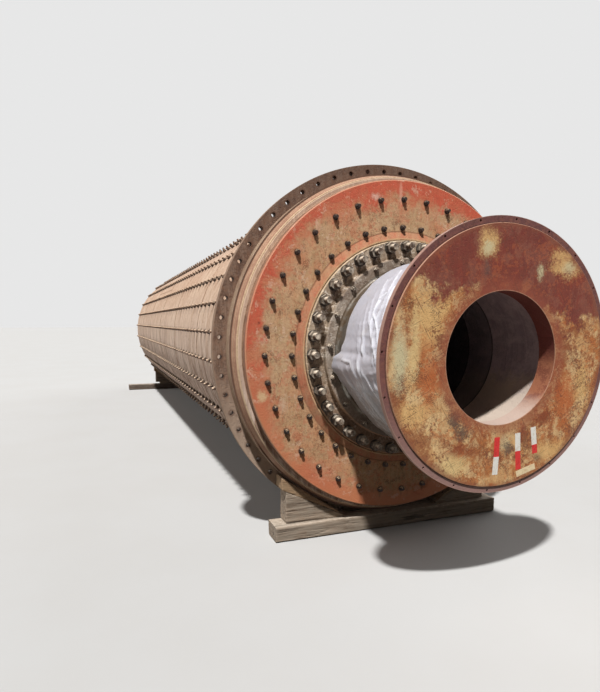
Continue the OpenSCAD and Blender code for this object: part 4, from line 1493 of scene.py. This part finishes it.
def bead_mesh(paths):
    """One mesh of rippled beads. A path is a list of (point, outward normal) and a closed flag."""
    vertices, faces = [], []
    section = [(-0.5, -BEAD_SINK), (-0.42, 0.4 * BEAD_HEIGHT), (0.0, BEAD_HEIGHT),
               (0.42, 0.4 * BEAD_HEIGHT), (0.5, -BEAD_SINK)]
    for path, closed in paths:
        base, count = len(vertices), len(path)
        for i, (point, normal) in enumerate(path):
            ahead = path[(i + 1) % count][0] if closed or i + 1 < count else point
            behind = path[i - 1][0] if closed or i else point
            side = (ahead - behind).cross(normal).normalized()
            ripple = 0.82 + 0.18 * math.sin(i * 2.4) + 0.10 * noise.noise(point * 6)
            wide = BEAD_WIDTH * (0.92 + 0.08 * ripple)
            for across, lift in section:
                raised = lift * ripple if lift > 0 else lift
                vertices.append(point + side * across * wide + normal * raised)
        across_count = len(section)
        for i in range(count if closed else count - 1):
            j = (i + 1) % count
            for k in range(across_count):
                m = (k + 1) % across_count
                faces.append((base + i * across_count + k, base + i * across_count + m,
                              base + j * across_count + m, base + j * across_count + k))
        if not closed:
            faces.append(tuple(base + k for k in reversed(range(across_count))))
            faces.append(tuple(base + (count - 1) * across_count + k for k in range(across_count)))
    mesh = bpy.data.meshes.new("beads")
    mesh.from_pydata([tuple(v) for v in vertices], [], faces)
    shape = bmesh.new()
    shape.from_mesh(mesh)
    bmesh.ops.recalc_face_normals(shape, faces=shape.faces)
    shape.to_mesh(mesh)
    shape.free()
    return mesh


def ring_path(x, radius, count=1300):
    """A closed path round the drum at x."""
    path = []
    for i in range(count):
        angle = 2 * math.pi * i / count
        outward = Vector((0.0, math.cos(angle), math.sin(angle)))
        path.append((Vector((x, 0.0, AXIS)) + outward * radius, outward))
    return path, True


def seam_path(start, end, turn, radius, step=0.012):
    """A straight path along the drum at a turn in degrees."""
    angle = math.radians(turn)
    outward = Vector((0.0, math.cos(angle), math.sin(angle)))
    count = int((end - start) / step)
    foot = outward * radius
    return [(Vector((start + step * i, 0.0, AXIS)) + foot, outward) for i in range(count)], False


COURSES = 6
course_length = 2 * SHELL_END / COURSES
beads = [ring_path(-SHELL_END + course_length * i, SHELL_RADIUS) for i in range(1, COURSES)]
for i in range(COURSES):
    start = -SHELL_END + course_length * i + BEAD_WIDTH
    end = min(start + course_length - 2 * BEAD_WIDTH, HUB_BACK)
    seam_turn = 180 / BOLT_ROWS * 2 * (5 + 7 * (i % 2) + 8 * (i // 2))
    beads.append(seam_path(start, end, seam_turn, SHELL_RADIUS))
beads.append(ring_path(HUB_BACK, SHELL_RADIUS))
for outwards in (1.0, -1.0):
    beads.append(ring_path(outwards * (SHELL_END + 0.001), HEAD_RADIUS + 0.004))


def make_weld():
    material, nodes = new_material("weld beads")
    where = nodes.place()
    patchy = nodes.blotches(where, 9.0)
    color = nodes.mix(patchy, srgb(164, 130, 104), srgb(118, 84, 62))
    settled = nodes.dust(0.5)
    color = nodes.mix(settled, color, srgb(202, 170, 142))
    height = nodes.grit(where, grain=180.0, pitting=0.4)
    end_material(nodes, color, nodes.ramp(patchy, 0.0, 1.0, 0.86, 0.7), height, depth=0.002)
    return material


add_piece("weld_beads", bead_mesh(beads), make_weld())

# %% [markdown]
# ## Yard, light and camera
#
# The stage is a pale floor under soft light. One sun lamp stands high before the near end, so
# that every nut casts the shadow that makes it read. Two very wide lamps and a dim world fill
# the shadows, and the background that the camera sees is brighter than the light it gives.
# The camera stands where the photograph was taken, close to the end plate and near head height.

# %% Floor
FLOOR_SIZE = 400.0
BACKGROUND = 0.80
SOFT_WORLD = 0.04


def seen_rays(nodes):
    """1 for the rays that show a thing to the camera, straight or in a gloss, and 0 for its light."""
    rays = nodes.add("ShaderNodeLightPath").outputs
    through = nodes.math("MAXIMUM", rays["Is Glossy Ray"], rays["Is Transmission Ray"])
    return nodes.math("MAXIMUM", rays["Is Camera Ray"], through)


def make_floor():
    material, nodes = new_material("pale floor")
    cloudy = nodes.noise(nodes.place(), 0.6, 5.0, 0.6)
    pale = nodes.mix(nodes.ramp(cloudy, 0.35, 0.65, 0.0, 0.5), srgb(195, 194, 192), srgb(192, 190, 187))
    color = nodes.mix(seen_rays(nodes), srgb(82, 79, 76), pale)
    end_material(nodes, color, 1.0, Specular_IOR_Level=0.0)
    return material


floor_mesh = bpy.data.meshes.new("floor")
half = FLOOR_SIZE / 2
corners = [(-half, -half, 0), (half, -half, 0), (half, half, 0), (-half, half, 0)]
floor_mesh.from_pydata(corners, [], [(0, 1, 2, 3)])
floor_mesh.materials.append(make_floor())
new_object("floor", floor_mesh)

# %% Light
# Where each lamp stands, its strength, and the width of its disc in degrees
LAMPS = {
    "key": ((0.43, -0.245, 0.867), 4.3, 3.0),
    "left fill": ((-0.25, -0.95, 0.30), 1.0, 60.0),
    "back fill": ((-0.55, 0.85, 0.35), 1.5, 60.0),
}
for name, (source, strength, spread) in LAMPS.items():
    lamp = bpy.data.lights.new(name, "SUN")
    lamp.energy = strength
    lamp.angle = math.radians(spread)
    holder = new_object(name, lamp)
    holder.rotation_euler = Vector(source).to_track_quat("Z", "Y").to_euler()

world = bpy.data.worlds.new("studio")
bpy.context.scene.world = world
world.use_nodes = True
world.node_tree.nodes.clear()
sky = Nodes(world.node_tree)
soft = sky.add("ShaderNodeBackground", {"Color": (1.0, 1.0, 1.0, 1.0), "Strength": SOFT_WORLD})
backdrop = sky.add("ShaderNodeBackground", {"Color": (1.0, 1.0, 1.0, 1.0), "Strength": BACKGROUND})
joined = sky.add("ShaderNodeMixShader", {0: seen_rays(sky), 1: soft.outputs[0], 2: backdrop.outputs[0]})
sky.feed(joined.outputs[0], sky.add("ShaderNodeOutputWorld").inputs["Surface"])

# %% Camera
CAMERA_PLACE = Vector((11.339, -2.814, 2.134))
CAMERA_TURN, CAMERA_DIP = math.radians(20.385), math.radians(8.297)
LENS_LENGTH = 28.035
LENS_SHIFT = 0.078
lens = bpy.data.cameras.new("camera")
lens.sensor_width = 36.0
lens.lens = LENS_LENGTH
lens.shift_y = LENS_SHIFT
lens.clip_end = 1000.0
camera = new_object("camera", lens)
level = math.cos(CAMERA_DIP)
view_line = Vector((-math.cos(CAMERA_TURN) * level, math.sin(CAMERA_TURN) * level,
                    -math.sin(CAMERA_DIP)))
camera.location = CAMERA_PLACE
camera.rotation_euler = view_line.to_track_quat("-Z", "Y").to_euler()
bpy.context.scene.camera = camera
bpy.context.scene.view_settings.view_transform = "Standard"
